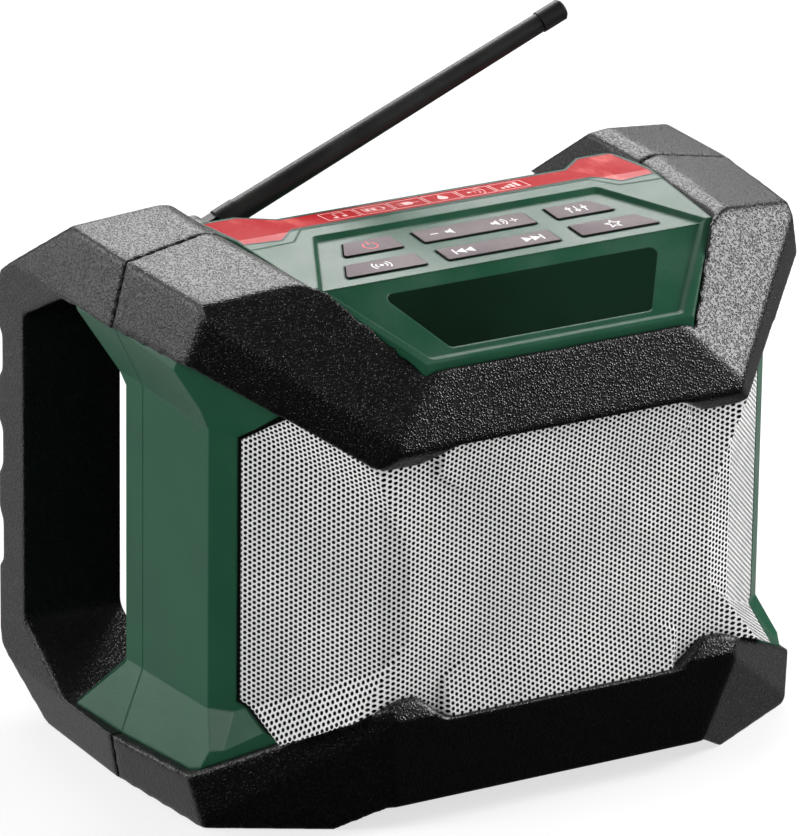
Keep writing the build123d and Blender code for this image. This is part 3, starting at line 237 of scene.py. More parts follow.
def pebble_grain():
    """Moulded leather grain: rounded cells of about the pitch, drawn apart by noise, with finer
    wrinkles on them.  Height is 0 in the furrows and 1 on the pebbles, and Furrow is 1 in them."""
    group, t, gi, go = new_group(
        "pebble_grain", [("Vector", "v", None), ("Cells per metre", "f", 800.0), ("Wrinkle", "f", 0.3)],
        [("Height", "f"), ("Furrow", "f")])
    wander = t.add("ShaderNodeTexNoise")
    t.link(gi.outputs["Vector"], wander.inputs["Vector"])
    t.link(t.math("MULTIPLY", gi.outputs["Cells per metre"], 0.8), wander.inputs["Scale"])
    wander.inputs["Detail"].default_value = 1.0
    shift = t.add("ShaderNodeVectorMath", operation="SUBTRACT")
    t.link(wander.outputs["Color"], shift.inputs[0])
    shift.inputs[1].default_value = (0.5, 0.5, 0.5)
    scaled = t.add("ShaderNodeVectorMath", operation="SCALE")
    t.link(shift.outputs[0], scaled.inputs[0])
    t.link(t.math("DIVIDE", 0.9, gi.outputs["Cells per metre"]), scaled.inputs["Scale"])
    moved = t.add("ShaderNodeVectorMath", operation="ADD")
    t.link(gi.outputs["Vector"], moved.inputs[0])
    t.link(scaled.outputs[0], moved.inputs[1])
    cells = t.add("ShaderNodeTexVoronoi", feature="SMOOTH_F1")
    t.link(moved.outputs[0], cells.inputs["Vector"])
    t.link(gi.outputs["Cells per metre"], cells.inputs["Scale"])
    cells.inputs["Smoothness"].default_value = 0.25
    dome = t.span(cells.outputs["Distance"], 0.62, 0.12)
    fine = t.noise(moved.outputs[0], t.math("MULTIPLY", gi.outputs["Cells per metre"], 2.6), 2.0, 0.6)
    both = t.math("ADD", dome, t.math("MULTIPLY", fine, gi.outputs["Wrinkle"]))
    t.link(both, go.inputs["Height"])
    t.link(t.span(cells.outputs["Distance"], 0.30, 0.62), go.inputs["Furrow"])
    return group


def spark_texture():
    """Fine spark-eroded moulding texture: Height is even grit in two sizes, and Drift a slow cloud."""
    group, t, gi, go = new_group(
        "spark_texture", [("Vector", "v", None), ("Grit per metre", "f", 2500.0)],
        [("Height", "f"), ("Drift", "f")])
    where, grit = gi.outputs["Vector"], gi.outputs["Grit per metre"]
    fine = t.noise(where, grit, 2.0, 0.7)
    broad = t.noise(where, t.math("MULTIPLY", grit, 0.33), 1.0, 0.5)
    t.link(t.math("ADD", fine, t.math("MULTIPLY", broad, 0.6)), go.inputs["Height"])
    t.link(t.noise(where, 26.0, 3.0, 0.55), go.inputs["Drift"])
    return group


def settled_dust():
    """Mask of dust: more on faces that look up, broken by two sizes of noise."""
    group, t, gi, go = new_group(
        "settled_dust", [("Vector", "v", None), ("Amount", "f", 0.2)], [("Mask", "f")])
    upward = t.span(t.axes(t.add("ShaderNodeNewGeometry").outputs["Normal"])["Z"], -0.2, 1.0)
    cloud = t.span(t.noise(gi.outputs["Vector"], 45.0, 4.0, 0.6), 0.35, 0.75)
    specks = t.span(t.noise(gi.outputs["Vector"], 1400.0, 1.0, 0.5), 0.62, 0.74)
    both = t.math("ADD", t.math("MULTIPLY", cloud, 0.6), t.math("MULTIPLY", specks, 0.4))
    lying = t.math("MULTIPLY", both, upward)
    t.link(t.math("MULTIPLY", lying, gi.outputs["Amount"], clamp=True), go.inputs["Mask"])
    return group


GRAIN, SPARK, DUST = pebble_grain(), spark_texture(), settled_dust()


class Finish(Tree):
    """A material with one Principled shader."""

    def __init__(self, name, **fixed):
        self.material = bpy.data.materials.new(name)
        self.material.use_nodes = True
        super().__init__(self.material.node_tree)
        self.shader = self.tree.nodes["Principled BSDF"]
        for key, value in fixed.items():
            self.shader.inputs[key.replace("_", " ")].default_value = value
        self.coords = self.add("ShaderNodeTexCoord").outputs["Object"]

    def group(self, group, **values):
        """Outputs of a texture group on the object's coordinates."""
        node = self.add("ShaderNodeGroup", node_tree=group)
        if "Vector" in node.inputs:
            self.link(self.coords, node.inputs["Vector"])
        for key, value in values.items():
            self.feed(node.inputs[key.replace("_", " ")], value)
        return node.outputs

    def bump(self, height, distance, over=None):
        """Relief of the given depth, on top of the normal over."""
        node = self.add("ShaderNodeBump")
        node.inputs["Strength"].default_value = 1.0
        node.inputs["Distance"].default_value = distance
        self.link(height, node.inputs["Height"])
        if over is not None:
            self.link(over, node.inputs["Normal"])
        self.link(node.outputs[0], self.shader.inputs["Normal"])

    def soft_edges(self, radius):
        """Normal that is rounded over the edges."""
        node = self.add("ShaderNodeBevel", samples=6)
        node.inputs["Radius"].default_value = radius
        return node.outputs[0]

    def colour(self, value):
        self.feed(self.shader.inputs["Base Color"], value)

    def rough(self, value):
        self.feed(self.shader.inputs["Roughness"], value)


def rgb(r, g, b):
    """Linear colour from display values of 0 to 255."""
    def linear(v):
        return v / 255 / 12.92 if v <= 10 else ((v / 255 + 0.055) / 1.055) ** 2.4

    return linear(r), linear(g), linear(b), 1


def darker(colour, share):
    """The colour times a share."""
    return tuple(c * share for c in colour[:3]) + (1,)


# ---------------------------------------------------------------- finishes
def rubber(name, dark, light, cells, depth, roughness):
    """Black overmoulded rubber with a pebbled grain, greyer on the pebbles, dusty on top."""
    f = Finish(name, Specular_IOR_Level=0.5)
    grain = f.group(GRAIN, Cells_per_metre=cells)
    dust = f.group(DUST, Amount=0.5)
    base = f.mix(grain["Furrow"], light, dark)
    f.colour(f.mix(f.math("MULTIPLY", dust["Mask"], 0.08), base, rgb(120, 112, 108)))
    f.rough(f.span(grain["Height"], 0.0, 1.3, roughness + 0.10, roughness - 0.04))
    f.bump(grain["Height"], depth)
    return f.material


def moulded(name, colour, roughness, depth, grit=2500.0, soft=0.0, gloss=0.5):
    """Moulded plastic with a spark-eroded texture and a slight drift of colour.  soft is the radius
    that its edges are shaded with."""
    f = Finish(name, Specular_IOR_Level=gloss)
    spark = f.group(SPARK, Grit_per_metre=grit)
    dust = f.group(DUST, Amount=0.3)
    base = f.mix(f.span(spark["Drift"], 0.3, 0.7), darker(colour, 0.824), colour)
    f.colour(f.mix(f.math("MULTIPLY", dust["Mask"], 0.2), base, rgb(180, 184, 178)))
    f.rough(f.span(spark["Drift"], 0.25, 0.75, roughness - 0.04, roughness + 0.05))
    f.bump(spark["Height"], depth, over=f.soft_edges(soft) if soft else None)
    return f.material


def key_plastic_with_painted_shade():
    """Keys with a printed grey top; their sides are painted near-black as painted shade."""
    f = Finish("key_plastic_with_painted_shade", Specular_IOR_Level=0.2)
    spark = f.group(SPARK, Grit_per_metre=3000.0)
    upward = f.axes(f.add("ShaderNodeNewGeometry").outputs["True Normal"])["Z"]
    top = f.mix(f.span(spark["Drift"], 0.3, 0.7), rgb(104, 92, 96), rgb(116, 104, 106))
    # painted shade: faces that do not look up are near-black in place of the grey plastic
    f.colour(f.mix(f.span(upward, 0.80, 0.95), rgb(7, 7, 7), top))
    f.rough(f.span(spark["Height"], 0.5, 1.1, 0.46, 0.58))
    f.bump(spark["Height"], 0.00005)
    return f.material


def painted_sheet():
    """Pale satin paint on a perforated sheet, with faint orange peel and dust."""
    f = Finish("grille_paint", Specular_IOR_Level=0.5)
    spark = f.group(SPARK, Grit_per_metre=1800.0)
    dust = f.group(DUST, Amount=0.4)
    base = f.mix(f.span(spark["Drift"], 0.35, 0.65), rgb(196, 197, 197), rgb(208, 208, 207))
    f.colour(f.mix(f.math("MULTIPLY", dust["Mask"], 0.3), base, rgb(170, 166, 160)))
    f.rough(f.span(spark["Drift"], 0.3, 0.7, 0.36, 0.44))
    f.bump(spark["Height"], 0.00001)
    return f.material


def plain_metal(name, colour, roughness):
    """Plated metal with fine turning marks."""
    f = Finish(name, Metallic=1.0)
    spark = f.group(SPARK, Grit_per_metre=3000.0)
    f.colour(f.mix(f.span(spark["Drift"], 0.35, 0.65), darker(colour, 0.85), colour))
    f.rough(f.span(spark["Height"], 0.5, 1.1, roughness - 0.06, roughness + 0.10))
    f.bump(spark["Height"], 0.00001)
    return f.material


def cloth():
    """Open weave: two crossed sets of threads."""
    f = Finish("speaker_cloth", Specular_IOR_Level=0.2)
    where, threads = f.axes(f.coords), 9000.0               # radians per metre
    across = f.math("SINE", f.math("MULTIPLY", f.math("ADD", where["X"], where["Y"]), threads))
    along = f.math("SINE", f.math("MULTIPLY", where["Z"], threads))
    weave = f.math("MULTIPLY", across, along)
    f.colour(f.mix(f.span(weave, -1.0, 1.0), (0.001, 0.001, 0.001, 1), (0.006, 0.006, 0.006, 1)))
    f.rough(f.span(weave, -1.0, 1.0, 0.8, 0.95))
    f.bump(weave, 0.0001)
    return f.material


def glossy_film():
    """Printed red film.  Pale streaks of painted reflection cross it, strong at the two ends and faint
    between.
    """
    f = Finish("label_film", Specular_IOR_Level=0.08)
    streak = f.add("ShaderNodeMapping")
    f.link(f.coords, streak.inputs[0])
    streak.inputs["Scale"].default_value = (60.0, 22.0, 22.0)
    streak.inputs["Rotation"].default_value = (0.0, 0.0, 0.6)
    # painted reflection: pale streaks over the red, strongest at the two ends
    painted_glare = f.span(f.noise(streak.outputs[0], 1.0, 5.0, 0.62), 0.50, 0.66)
    spark = f.group(SPARK, Grit_per_metre=2200.0)
    ends = f.span(f.math("ABSOLUTE", f.axes(f.coords)["X"]), 0.045, 0.060, 0.12, 0.6)
    f.colour(f.mix(f.math("MULTIPLY", painted_glare, ends), rgb(170, 14, 24), rgb(228, 120, 112)))
    f.rough(f.span(spark["Drift"], 0.3, 0.7, 0.26, 0.34))
    f.bump(spark["Height"], 0.000008)
    return f.material


def dark_window():
    """Polished dark window, tinted green, with the cell behind it just showing as a paler field."""
    f = Finish("display_window", Specular_IOR_Level=0.5)
    soft = f.noise(f.coords, 18.0, 2.0, 0.5)
    f.colour(f.mix(f.span(soft, 0.3, 0.7), rgb(8, 24, 15), rgb(14, 36, 24)))
    f.rough(f.span(soft, 0.3, 0.7, 0.10, 0.16))
    f.bump(f.noise(f.coords, 60.0, 1.0, 0.5), 0.00001)
    return f.material


def printed(name, colour):
    """Thin layer of print, slightly uneven."""
    f = Finish(name)
    patch = f.noise(f.coords, 900.0, 3.0, 0.6)
    f.colour(f.mix(f.span(patch, 0.35, 0.7), darker(colour, 0.8), colour))
    f.rough(f.span(patch, 0.3, 0.7, 0.42, 0.55))
    return f.material


# painted shade: near-black on the walls of the grille's holes and on its back skin, where the sheet itself
# is pale paint
HOLE_SHADE = moulded("grille_hole_painted_shade", rgb(20, 20, 20), 0.7, 0.00001)
FINISH = {                                                  # by material slot; lengths in metres
    "bumper_rubber": rubber("bumper_rubber", rgb(3, 3, 3), rgb(11, 10, 10), 1250.0, 0.00012, 0.28),
    "shell_green": moulded("shell_green", rgb(25, 72, 51), 0.31, 0.00004, soft=0.0013, gloss=0.2),
    "grille_metal": painted_sheet(),
    "dust_cloth": cloth(),
    "label_red": glossy_film(),
    "key_grey": key_plastic_with_painted_shade(),
    "lens_dark": dark_window(),
    "seal_rubber": rubber("seal_rubber", rgb(10, 10, 10), rgb(18, 18, 18), 1800.0, 0.00008, 0.55),
    "display_glass": moulded("display_cell", rgb(96, 104, 92), 0.2, 0.00001),
    "board_laminate": moulded("board_laminate", rgb(24, 78, 44), 0.35, 0.00002),
    "part_black": moulded("part_black", rgb(26, 26, 27), 0.5, 0.00004),
    "screw_steel": plain_metal("screw_steel", rgb(196, 194, 188), 0.32),
    "blade_brass": plain_metal("blade_brass", rgb(206, 176, 112), 0.28),
    "antenna_black": moulded("antenna_black", rgb(17, 16, 16), 0.42, 0.00004, 1500.0),
    "basket_steel": moulded("basket_steel", rgb(30, 30, 31), 0.4, 0.00002),
    "magnet_iron": moulded("magnet_iron", rgb(84, 84, 84), 0.55, 0.00003),
    "cone_paper": moulded("cone_paper", rgb(34, 33, 32), 0.85, 0.00006),
}
SLOT_OF = {s["node"]: s["material_slot"] for s in frame["record"]["subparts"]}

for node_name, node in NODES.items():
    node.data.materials.clear()
    node.data.materials.append(FINISH[SLOT_OF[node_name]])


def add_piece(name, points, faces, body, slot, material=None):
    """New mesh object at the origin, from an array of points in millimetres and a list of faces."""
    mesh = bpy.data.meshes.new(name)
    mesh.from_pydata((points * MM).tolist(), [], faces)
    mesh.update()
    obj = new_object(name, mesh)
    mesh.materials.append(material or FINISH[slot])
    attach(obj, body)
    return obj


# ---------------------------------------------------------------- rounded mouldings
KEY_EDGE, KEY_SEGMENTS = 0.35 * MM, 2
SHARP = math.radians(14.0)                                  # key edges that turn by more are rounded
FLAT = math.radians(0.6)                                    # key faces that turn by less are joined
SKIN_CELL, SKIN_ROUNDS = 1.0 * MM, 6                        # voxel size and rounds of smoothing
BROW_RIM = 0.1667                                           # height that the brow's front edge ends at
BROW_FRONT, BROW_HALF = -0.0800, 0.0530                     # where that edge lies


def merged_copy(node_name, flatten=False):
    """The node's mesh with its doubled points merged and, if asked, its flat faces joined."""
    mesh = NODES[node_name].data.copy()
    shape = bmesh.new()
    shape.from_mesh(mesh)
    bmesh.ops.remove_doubles(shape, verts=shape.verts, dist=1e-6)
    if flatten:
        bmesh.ops.dissolve_limit(shape, angle_limit=FLAT, verts=shape.verts, edges=shape.edges)
    shape.to_mesh(mesh)
    shape.free()
    return mesh


def rounded(node_name, label):
    """The node's shape with its edges bevelled."""
    mesh = merged_copy(node_name, flatten=True)
    mesh.name = label
    obj = new_object(label, mesh)
    soft = obj.modifiers.new("edge", "BEVEL")
    soft.width = KEY_EDGE
    soft.segments = KEY_SEGMENTS
    soft.limit_method = "ANGLE"
    soft.angle_limit = SHARP
    soft.use_clamp_overlap = True
    soft.harden_normals = True
    mesh.shade_smooth()
    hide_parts(node_name)
    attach(obj, BODY_OF[node_name])


def even_skin(mesh, label):
    """The mesh rebuilt as an even skin of quads."""
    source = new_object(label + "_source", mesh)
    skin = source.modifiers.new("skin", "REMESH")
    skin.mode = "VOXEL"
    skin.voxel_size = SKIN_CELL
    bpy.context.view_layer.update()
    made = bpy.data.meshes.new_from_object(source.evaluated_get(bpy.context.evaluated_depsgraph_get()))
    bpy.data.objects.remove(source)
    return made


def smoothed(points, edges):
    """Each point moved half way to the mean of its neighbours, SKIN_ROUNDS times."""
    count = len(points)
    degree = np.bincount(edges.ravel(), minlength=count)[:, None]
    for _ in range(SKIN_ROUNDS):
        total = np.zeros_like(points)
        for axis in range(3):
            total[:, axis] = np.bincount(edges[:, 0], points[edges[:, 1], axis], count) + \
                np.bincount(edges[:, 1], points[edges[:, 0], axis], count)
        points = points * 0.5 + total / degree * 0.5
    return points


def soft_moulding(node_name, label, trim=None):
    """The node's shape in thick rubber: an even skin, smoothed, so that its edges are round and its
    flat faces stay flat.  trim moves the points first."""
    made = even_skin(merged_copy(node_name), label)
    count = len(made.vertices)
    points = np.empty(count * 3, np.float32)
    made.vertices.foreach_get("co", points)
    points = points.reshape(-1, 3).astype(float)
    if trim is not None:
        points = trim(points)
    edges = np.empty(len(made.edges) * 2, np.int32)
    made.edges.foreach_get("vertices", edges)
    points = smoothed(points, edges.reshape(-1, 2))
    made.vertices.foreach_set("co", points.astype(np.float32).ravel())
    made.name = label
    made.materials.clear()
    made.materials.append(FINISH[SLOT_OF[node_name]])
    made.shade_smooth()
    made.update()
    obj = new_object(label, made)
    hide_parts(node_name)
    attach(obj, BODY_OF[node_name])
    print(label, count, "points")


def brow_trim(points):
    """The brow ends level, 2.5 mm below the rim of the panel, all along its front edge."""
    at_front = (points[:, 1] < BROW_FRONT) & (np.abs(points[:, 0]) < BROW_HALF)
    points[:, 2] = np.where(at_front, np.minimum(points[:, 2], BROW_RIM), points[:, 2])
    return points


soft_moulding("bumper_top", "brow_moulding", brow_trim)
soft_moulding("bumper_bottom", "chin_moulding")
soft_moulding("loop_left", "left_loop_moulding")
soft_moulding("loop_right", "right_loop_moulding")
for key in ("power_button", "mode_button", "eq_button", "preset_button", "volume_rocker", "track_rocker"):
    rounded(key, key + "_cap")


# ---------------------------------------------------------------- perforated grille
# Millimetres, with the origin SHIFT behind the middle of the radio, as in the part's source.
HALF, REACH, TOP, SHIFT = 125.0, 97.0, 194.6, 6.0           # half width, front reach, height
BEND = np.array([HALF - 15.5, -(REACH - 55.0)])             # rear end of the wing in plan
WING_END = np.array([HALF - 56.5, -(REACH - 9.2)])          # where it meets the band
FRONT = np.array([HALF - 66.0, -(REACH - 6.5)])             # where the band meets the front
ARM_LOW = TOP - 28.6                                        # lower edge of the brow at the arms
TOOTH, NOTCH_HIGH = TOP - 59.3, TOP - 52.8                  # lower edges of the brow in front
CHIN_RIM, NOTCH_LOW = 52.0, 43.5                            # upper edges of the chin in front
SHEET = 1.0                                                 # thickness
SPARE = 2.0                                                 # how far it goes on under the mouldings
PITCH_Z, PITCH_U, HOLE = 1.905, 1.65, 0.64                  # rows, columns, radius of the holes
LOWEST, HIGHEST = 20, 162                                   # heights that rows are tried between
RING = 12                                                   # points round a hole
EDGE_GAP = 1.4                                              # round the wings, where the cloth shows
EDGE_REACH = 0.45                                           # cells that would move further are left out
CHIN_LINE = ((10.0, 25.5), (61.0, 48.8))                    # where the chin crosses a wing
BROW_LINE = ((10.0, 159.5), (61.0, 136.5))                  # where the brow does
# Straight edges of a wing, in (distance from BEND, height): below, above and along the bend.
WING_EDGES = (((10.2, 43.6), (44.0, 25.0)), ((32.0, 154.0), (10.2, ARM_LOW - 26.4)),
              ((10.2, ARM_LOW - 26.4), (10.2, 43.6)))


def plane(a, b, c, outside):
    """Unit normal and offset of the plane through three points, facing the fourth."""
    a, b, c, outside = (np.array(v, float) for v in (a, b, c, outside))
    normal = np.cross(b - a, c - a)
    normal /= np.linalg.norm(normal)
    if normal @ (outside - a) < 0:
        normal = -normal
    return normal, normal @ a


def grille_planes():
    """The wing with its flares, the narrow band with its own, and the two shallow trapeziums of the
    front.  The points are corners of the folds."""
    bx, by = BEND
    wx, wy = WING_END
    up, down = (0, 0, 400), (0, 0, -200)
    wing = plane((bx, by, 0), (wx, wy, 0), (bx, by, 9), (999, -999, 0))
    band = plane((wx, wy, 0), (*FRONT, 0), (wx, wy, 9), (999, -999, 0))
    strip_top = plane((bx, by, ARM_LOW - 25.4), (bx - 6.8, by - 7.6, ARM_LOW - 26.0),
                      (HALF - 6.1, -(REACH - 48.5), ARM_LOW - 1.1), up)
    strip_low = plane((bx, by, 39.9), (bx - 6.8, by - 7.6, 40.0), (HALF - 5.9, -(REACH - 49.4), 24.9), down)
    wing_top = plane((bx - 8.5, by - 9.5, ARM_LOW - 22.6), (wx, wy, ARM_LOW - 43.6),
                     (HALF - 32.7, -(REACH - 28.5), ARM_LOW - 17.5), up)
    wing_low = plane((bx - 8.2, by - 9.2, 41.2), (wx, wy, 62.5), (HALF - 26.3, -(REACH - 27.9), 34.4), down)
    traps = []
    fy = FRONT[1]
    for sign, z0, z1, zt, x0, x1, out in ((1, TOP - 73.6, TOP - 64.1, TOP - 53.6, 37.0, 50.0, 2.9),
                                          (-1, 63.5, 57.3, 44.0, 35.5, 46.5, 3.0)):
        dx, dz = x1 - x0, z1 - z0
        away = np.array([dz * sign, 0, -dx * sign]) / math.hypot(dx, dz)
        slope = (away + np.array([0, -1, 0])) / math.sqrt(2)
        ramp = (slope, slope @ np.array([x0, fy, z0]))
        side = np.array([1, -1, 0]) / math.sqrt(2)
        upright = (side, side @ np.array([x1, fy, z1]))
        flare = plane((0, fy, z0), (9, fy, z0), (0, fy - out, zt), (0, -999, z0))
        traps.append([flare, ramp, upright])
    return [wing, strip_top, strip_low, wing_top, wing_low], [band, wing_top, wing_low], traps


WING_PLANES, BAND_PLANES, TRAPS = grille_planes()
WING_RUN = float(np.hypot(*(WING_END - BEND)))
BAND_RUN = float(np.hypot(*(FRONT - WING_END)))
FRONT_RUN = float(FRONT[0])


def plan_point(u):
    """Developed distance from the middle of the front, over front, band and wing, to a point and an
    outward direction in plan; negative u is the left-hand side."""
    side, r = np.sign(u) + (u == 0), np.abs(u)
    t_band = np.clip((r - FRONT_RUN) / BAND_RUN, 0, 1)
    t_wing = np.clip((r - FRONT_RUN - BAND_RUN) / WING_RUN, 0, 1)
    x = np.minimum(r, FRONT_RUN) + t_band * (WING_END - FRONT)[0] + t_wing * (BEND - WING_END)[0]
    y = FRONT[1] + t_band * (WING_END - FRONT)[1] + t_wing * (BEND - WING_END)[1]
    angle = t_band * math.atan2(WING_PLANES[0][0][0], -WING_PLANES[0][0][1])
    return np.stack([side * x, y], -1), np.stack([side * np.sin(angle), -np.cos(angle)], -1)


def plane_reach(planes, start, aim):
    """Distance along aim at which each plane is met, as an array (planes, points)."""
    return np.stack([(d - start @ n) / (aim @ n + 1e-12) for n, d in planes])


def sheet_points(u, z, sink=0.0):
    """Points of the folded sheet.  The distance outwards from the plan line is the least of three:
    the largest of the wing's planes, the largest of the band's, and the front with its trapeziums."""
    foot, aim = plan_point(u)
    mirror = np.where(u < 0, -1.0, 1.0)
    start = np.stack([np.abs(foot[:, 0]), foot[:, 1], z], -1)
    out = np.stack([aim[:, 0] * mirror, aim[:, 1], np.zeros_like(z)], -1)
    wing = plane_reach(WING_PLANES, start, out).max(0)
    band = plane_reach(BAND_PLANES, start, out).max(0)
    face = np.array([0.0, -1.0, 0.0])
    front = plane_reach([(face, -FRONT[1])], start, out)[0]
    for trap in TRAPS:
        front = np.maximum(front, plane_reach(trap, start, out).min(0))
    reach = np.minimum(np.minimum(wing, band), front)
    point = start + out * (reach - sink)[:, None]
    point[:, 0] *= mirror
    point[:, 1] += SHIFT
    return point


def above(p, planes, rise):
    """True where the point, lowered by rise, is under all the planes."""
    q = p - np.array([0, SHIFT, rise])
    return np.all([q @ n <= d for n, d in planes], axis=0)


def level(height, way):
    """Level plane at a height, facing up for 1 and down for -1."""
    return np.array([0, 0, float(way)]), way * height


def sheet_covers(u, z):
    """Where the sheet shows, and SPARE more under the mouldings above and below."""
    p = sheet_points(u, z)
    p[:, 0] = np.abs(p[:, 0])
    brow = plane((HALF - 4.5, -(REACH - 50.2), ARM_LOW), (HALF - 56.1, -(REACH - 6.0), TOOTH),
                 (HALF - 11.0, -(REACH - 57.8), ARM_LOW), (0, 0, 999))
    chin = plane((HALF - 4.6, -(REACH - 48.6), 19.4), (HALF - 58.3, -(REACH - 2.7), CHIN_RIM),
                 (HALF - 11.1, -(REACH - 56.2), 19.4), (0, 0, -999))
    high_side = plane((HALF - 69.7, 0, TOOTH), (HALF - 81.1, 0, NOTCH_HIGH), (HALF - 69.7, 9, TOOTH),
                      (999, 0, 999))
    low_side = plane((HALF - 68.9, 0, CHIN_RIM), (HALF - 78.9, 0, NOTCH_LOW), (HALF - 68.9, 9, CHIN_RIM),
                     (999, 0, -999))
    high = above(p, [brow, level(ARM_LOW, 1)], SPARE) | above(p, [level(TOOTH, 1)], SPARE) | \
        above(p, [high_side, level(NOTCH_HIGH, 1)], SPARE)
    low = above(p, [chin], -SPARE) | above(p, [level(CHIN_RIM, -1)], -SPARE) | \
        above(p, [low_side, level(NOTCH_LOW, -1)], -SPARE)
    return high & low


def keep_inside(u, z):
    """Points moved to the nearest place on a wing that is between the lines of chin and brow and
    EDGE_GAP inside its straight edges; returns how far they moved, too."""
    s = FRONT_RUN + BAND_RUN + WING_RUN - np.abs(u)
    far = np.zeros_like(s)
    (s0, z0), (s1, z1) = CHIN_LINE
    floor = z0 + (s - s0) * (z1 - z0) / (s1 - s0)
    lift = np.where(s < s1, np.maximum(floor - z, 0), 0)
    (s0, z0), (s1, z1) = BROW_LINE
    ceiling = z0 + (s - s0) * (z1 - z0) / (s1 - s0)
    drop = np.where(s < s1, np.maximum(z - ceiling, 0), 0)
    z, far = z + lift - drop, np.maximum(far, np.maximum(lift, drop))
    for a, b in np.array(WING_EDGES):
        edge = (b - a) / np.linalg.norm(b - a)
        inward = np.array([-edge[1], edge[0]])
        depth = (s - a[0]) * inward[0] + (z - a[1]) * inward[1] - EDGE_GAP
        push = np.minimum(depth, 0)
        s, z = s - push * inward[0], z - push * inward[1]
        far = np.maximum(far, -push)
    return np.sign(u + 1e-12) * (FRONT_RUN + BAND_RUN + WING_RUN - s), z, far


def grille_piece(label, u_from, u_to):
    """Sheet of hexagonal cells, each with a round hole, between two developed distances.  The
    corners of the hexagons are shared; a ring of points lies round each hole; both skins are joined
    by the walls of the holes and by a rim along the hexagon sides that have no neighbour."""
    columns = np.arange(math.ceil(u_from / PITCH_U - 1e-9), math.ceil(u_to / PITCH_U - 1e-9))
    rows = np.arange(int(LOWEST / PITCH_Z), int(HIGHEST / PITCH_Z) + 1)
    ci, ri = (v.ravel() for v in np.meshgrid(columns, rows, indexing="ij"))
    half_row = 2 * ri + np.abs(ci) % 2
    keep = sheet_covers(ci * PITCH_U, half_row * PITCH_Z / 2)
    keep &= keep_inside(ci * PITCH_U, half_row * PITCH_Z / 2)[2] < EDGE_REACH
    ci, half_row = ci[keep], half_row[keep]
    n = len(ci)
    corner_u = np.array([-2, -1, 1, 2, 1, -1])
    corner_z = np.array([0, -1, -1, 0, 1, 1])
    keys = np.stack([(3 * ci[:, None] + corner_u).ravel(), (half_row[:, None] + corner_z).ravel()], -1)
    corners, index = np.unique(keys, axis=0, return_inverse=True)
    index = index.reshape(n, 6)
    turn = np.radians(180 + 360 / RING * np.arange(RING))
    ring_u = (ci * PITCH_U)[:, None] + HOLE * np.cos(turn)
    ring_z = (half_row * PITCH_Z / 2)[:, None] + HOLE * np.sin(turn)
    u = np.concatenate([corners[:, 0] * PITCH_U / 3, ring_u.ravel()])
    z = np.concatenate([corners[:, 1] * PITCH_Z / 2, ring_z.ravel()])
    u, z, _ = keep_inside(u, z)
    total = len(u)
    ring = len(corners) + (np.arange(n) * RING)[:, None] + np.arange(RING)
    skin = []
    for corner in range(6):
        a, b = index[:, corner], index[:, (corner + 1) % 6]
        r0, r1, r2 = (ring[:, (2 * corner + step) % RING] for step in range(3))
        skin += [np.stack(t, -1) for t in ((a, r1, r0), (a, b, r1), (b, r2, r1))]
    skin = np.concatenate(skin)
    here, following = ring.ravel(), np.roll(ring, -1, axis=1).ravel()
    walls = np.stack([here, following, following + total, here + total], -1)
    start, end = index.ravel(), np.roll(index, -1, axis=1).ravel()
    open_side = ~np.isin(start * total + end, end * total + start)
    start, end = start[open_side], end[open_side]
    rim = np.stack([end, start, start + total, end + total], -1)
    points = np.concatenate([sheet_points(u, z), sheet_points(u, z, SHEET)])
    faces = skin.tolist() + rim.tolist() + (skin[:, ::-1] + total).tolist() + walls.tolist()
    obj = add_piece(label, points, faces, "radio", "grille_metal")
    # the walls of the holes and the back skin take the painted shade of HOLE_SHADE
    obj.data.materials.append(HOLE_SHADE)
    shade = np.arange(len(faces)) >= len(skin) + len(rim)
    obj.data.polygons.foreach_set("material_index", shade.astype(np.int32))
    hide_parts("speaker_grille")
    print(label, n, "cells", len(faces), "faces")


SIDE = FRONT_RUN + BAND_RUN
grille_piece("grille_left_wing", -(SIDE + WING_RUN), -SIDE)
grille_piece("grille_front_left", -SIDE, 0.0)
grille_piece("grille_front_right", 0.0, SIDE)
grille_piece("grille_right_wing", SIDE, SIDE + WING_RUN)


# ---------------------------------------------------------------- prints on the keys and the label
class Face:
    """Flat face of the radio: a point on it, its sideways and rearward directions and its normal,
    in millimetres."""

    def __init__(self, origin, rearward):
        self.origin = np.array(origin, float) + np.array([0, SHIFT, 0])
        self.x = np.array([1.0, 0.0, 0.0])
        self.y = np.array(rearward, float) / np.linalg.norm(rearward)
        self.n = np.cross(self.x, self.y)

    def at(self, xy, lift):
        """Points in space from places on the face, raised by lift."""
        xy = np.asarray(xy, float)
        return self.origin + xy[:, :1] * self.x + xy[:, 1:2] * self.y + lift * self.n


RISE = math.radians(3.4)                                    # of the panel towards the rear
KEY_FACE = Face((0, -15.8, TOP - 2.0), (0, math.cos(RISE), math.sin(RISE)))
LABEL_FACE = Face((0, -9.0, TOP - 1.6), (0, 17.0, -1.4))


def ribbon(points, width, closed):
    """Outline of a stroke: the points moved half the width to either side along the mitred normals."""
    p = np.asarray(points, float)
    step = np.roll(p, -1, 0) - p
    step /= np.maximum(np.linalg.norm(step, axis=1, keepdims=True), 1e-9)
    before = np.roll(step, 1, 0)
    if not closed:
        step[-1], before[0] = before[-1], step[0]
    side, side_before = (np.stack([-d[:, 1], d[:, 0]], -1) for d in (step, before))
    mitre = side + side_before
    mitre /= np.maximum((mitre * side).sum(1, keepdims=True), 0.35)
    return p + mitre * width / 2, p - mitre * width / 2


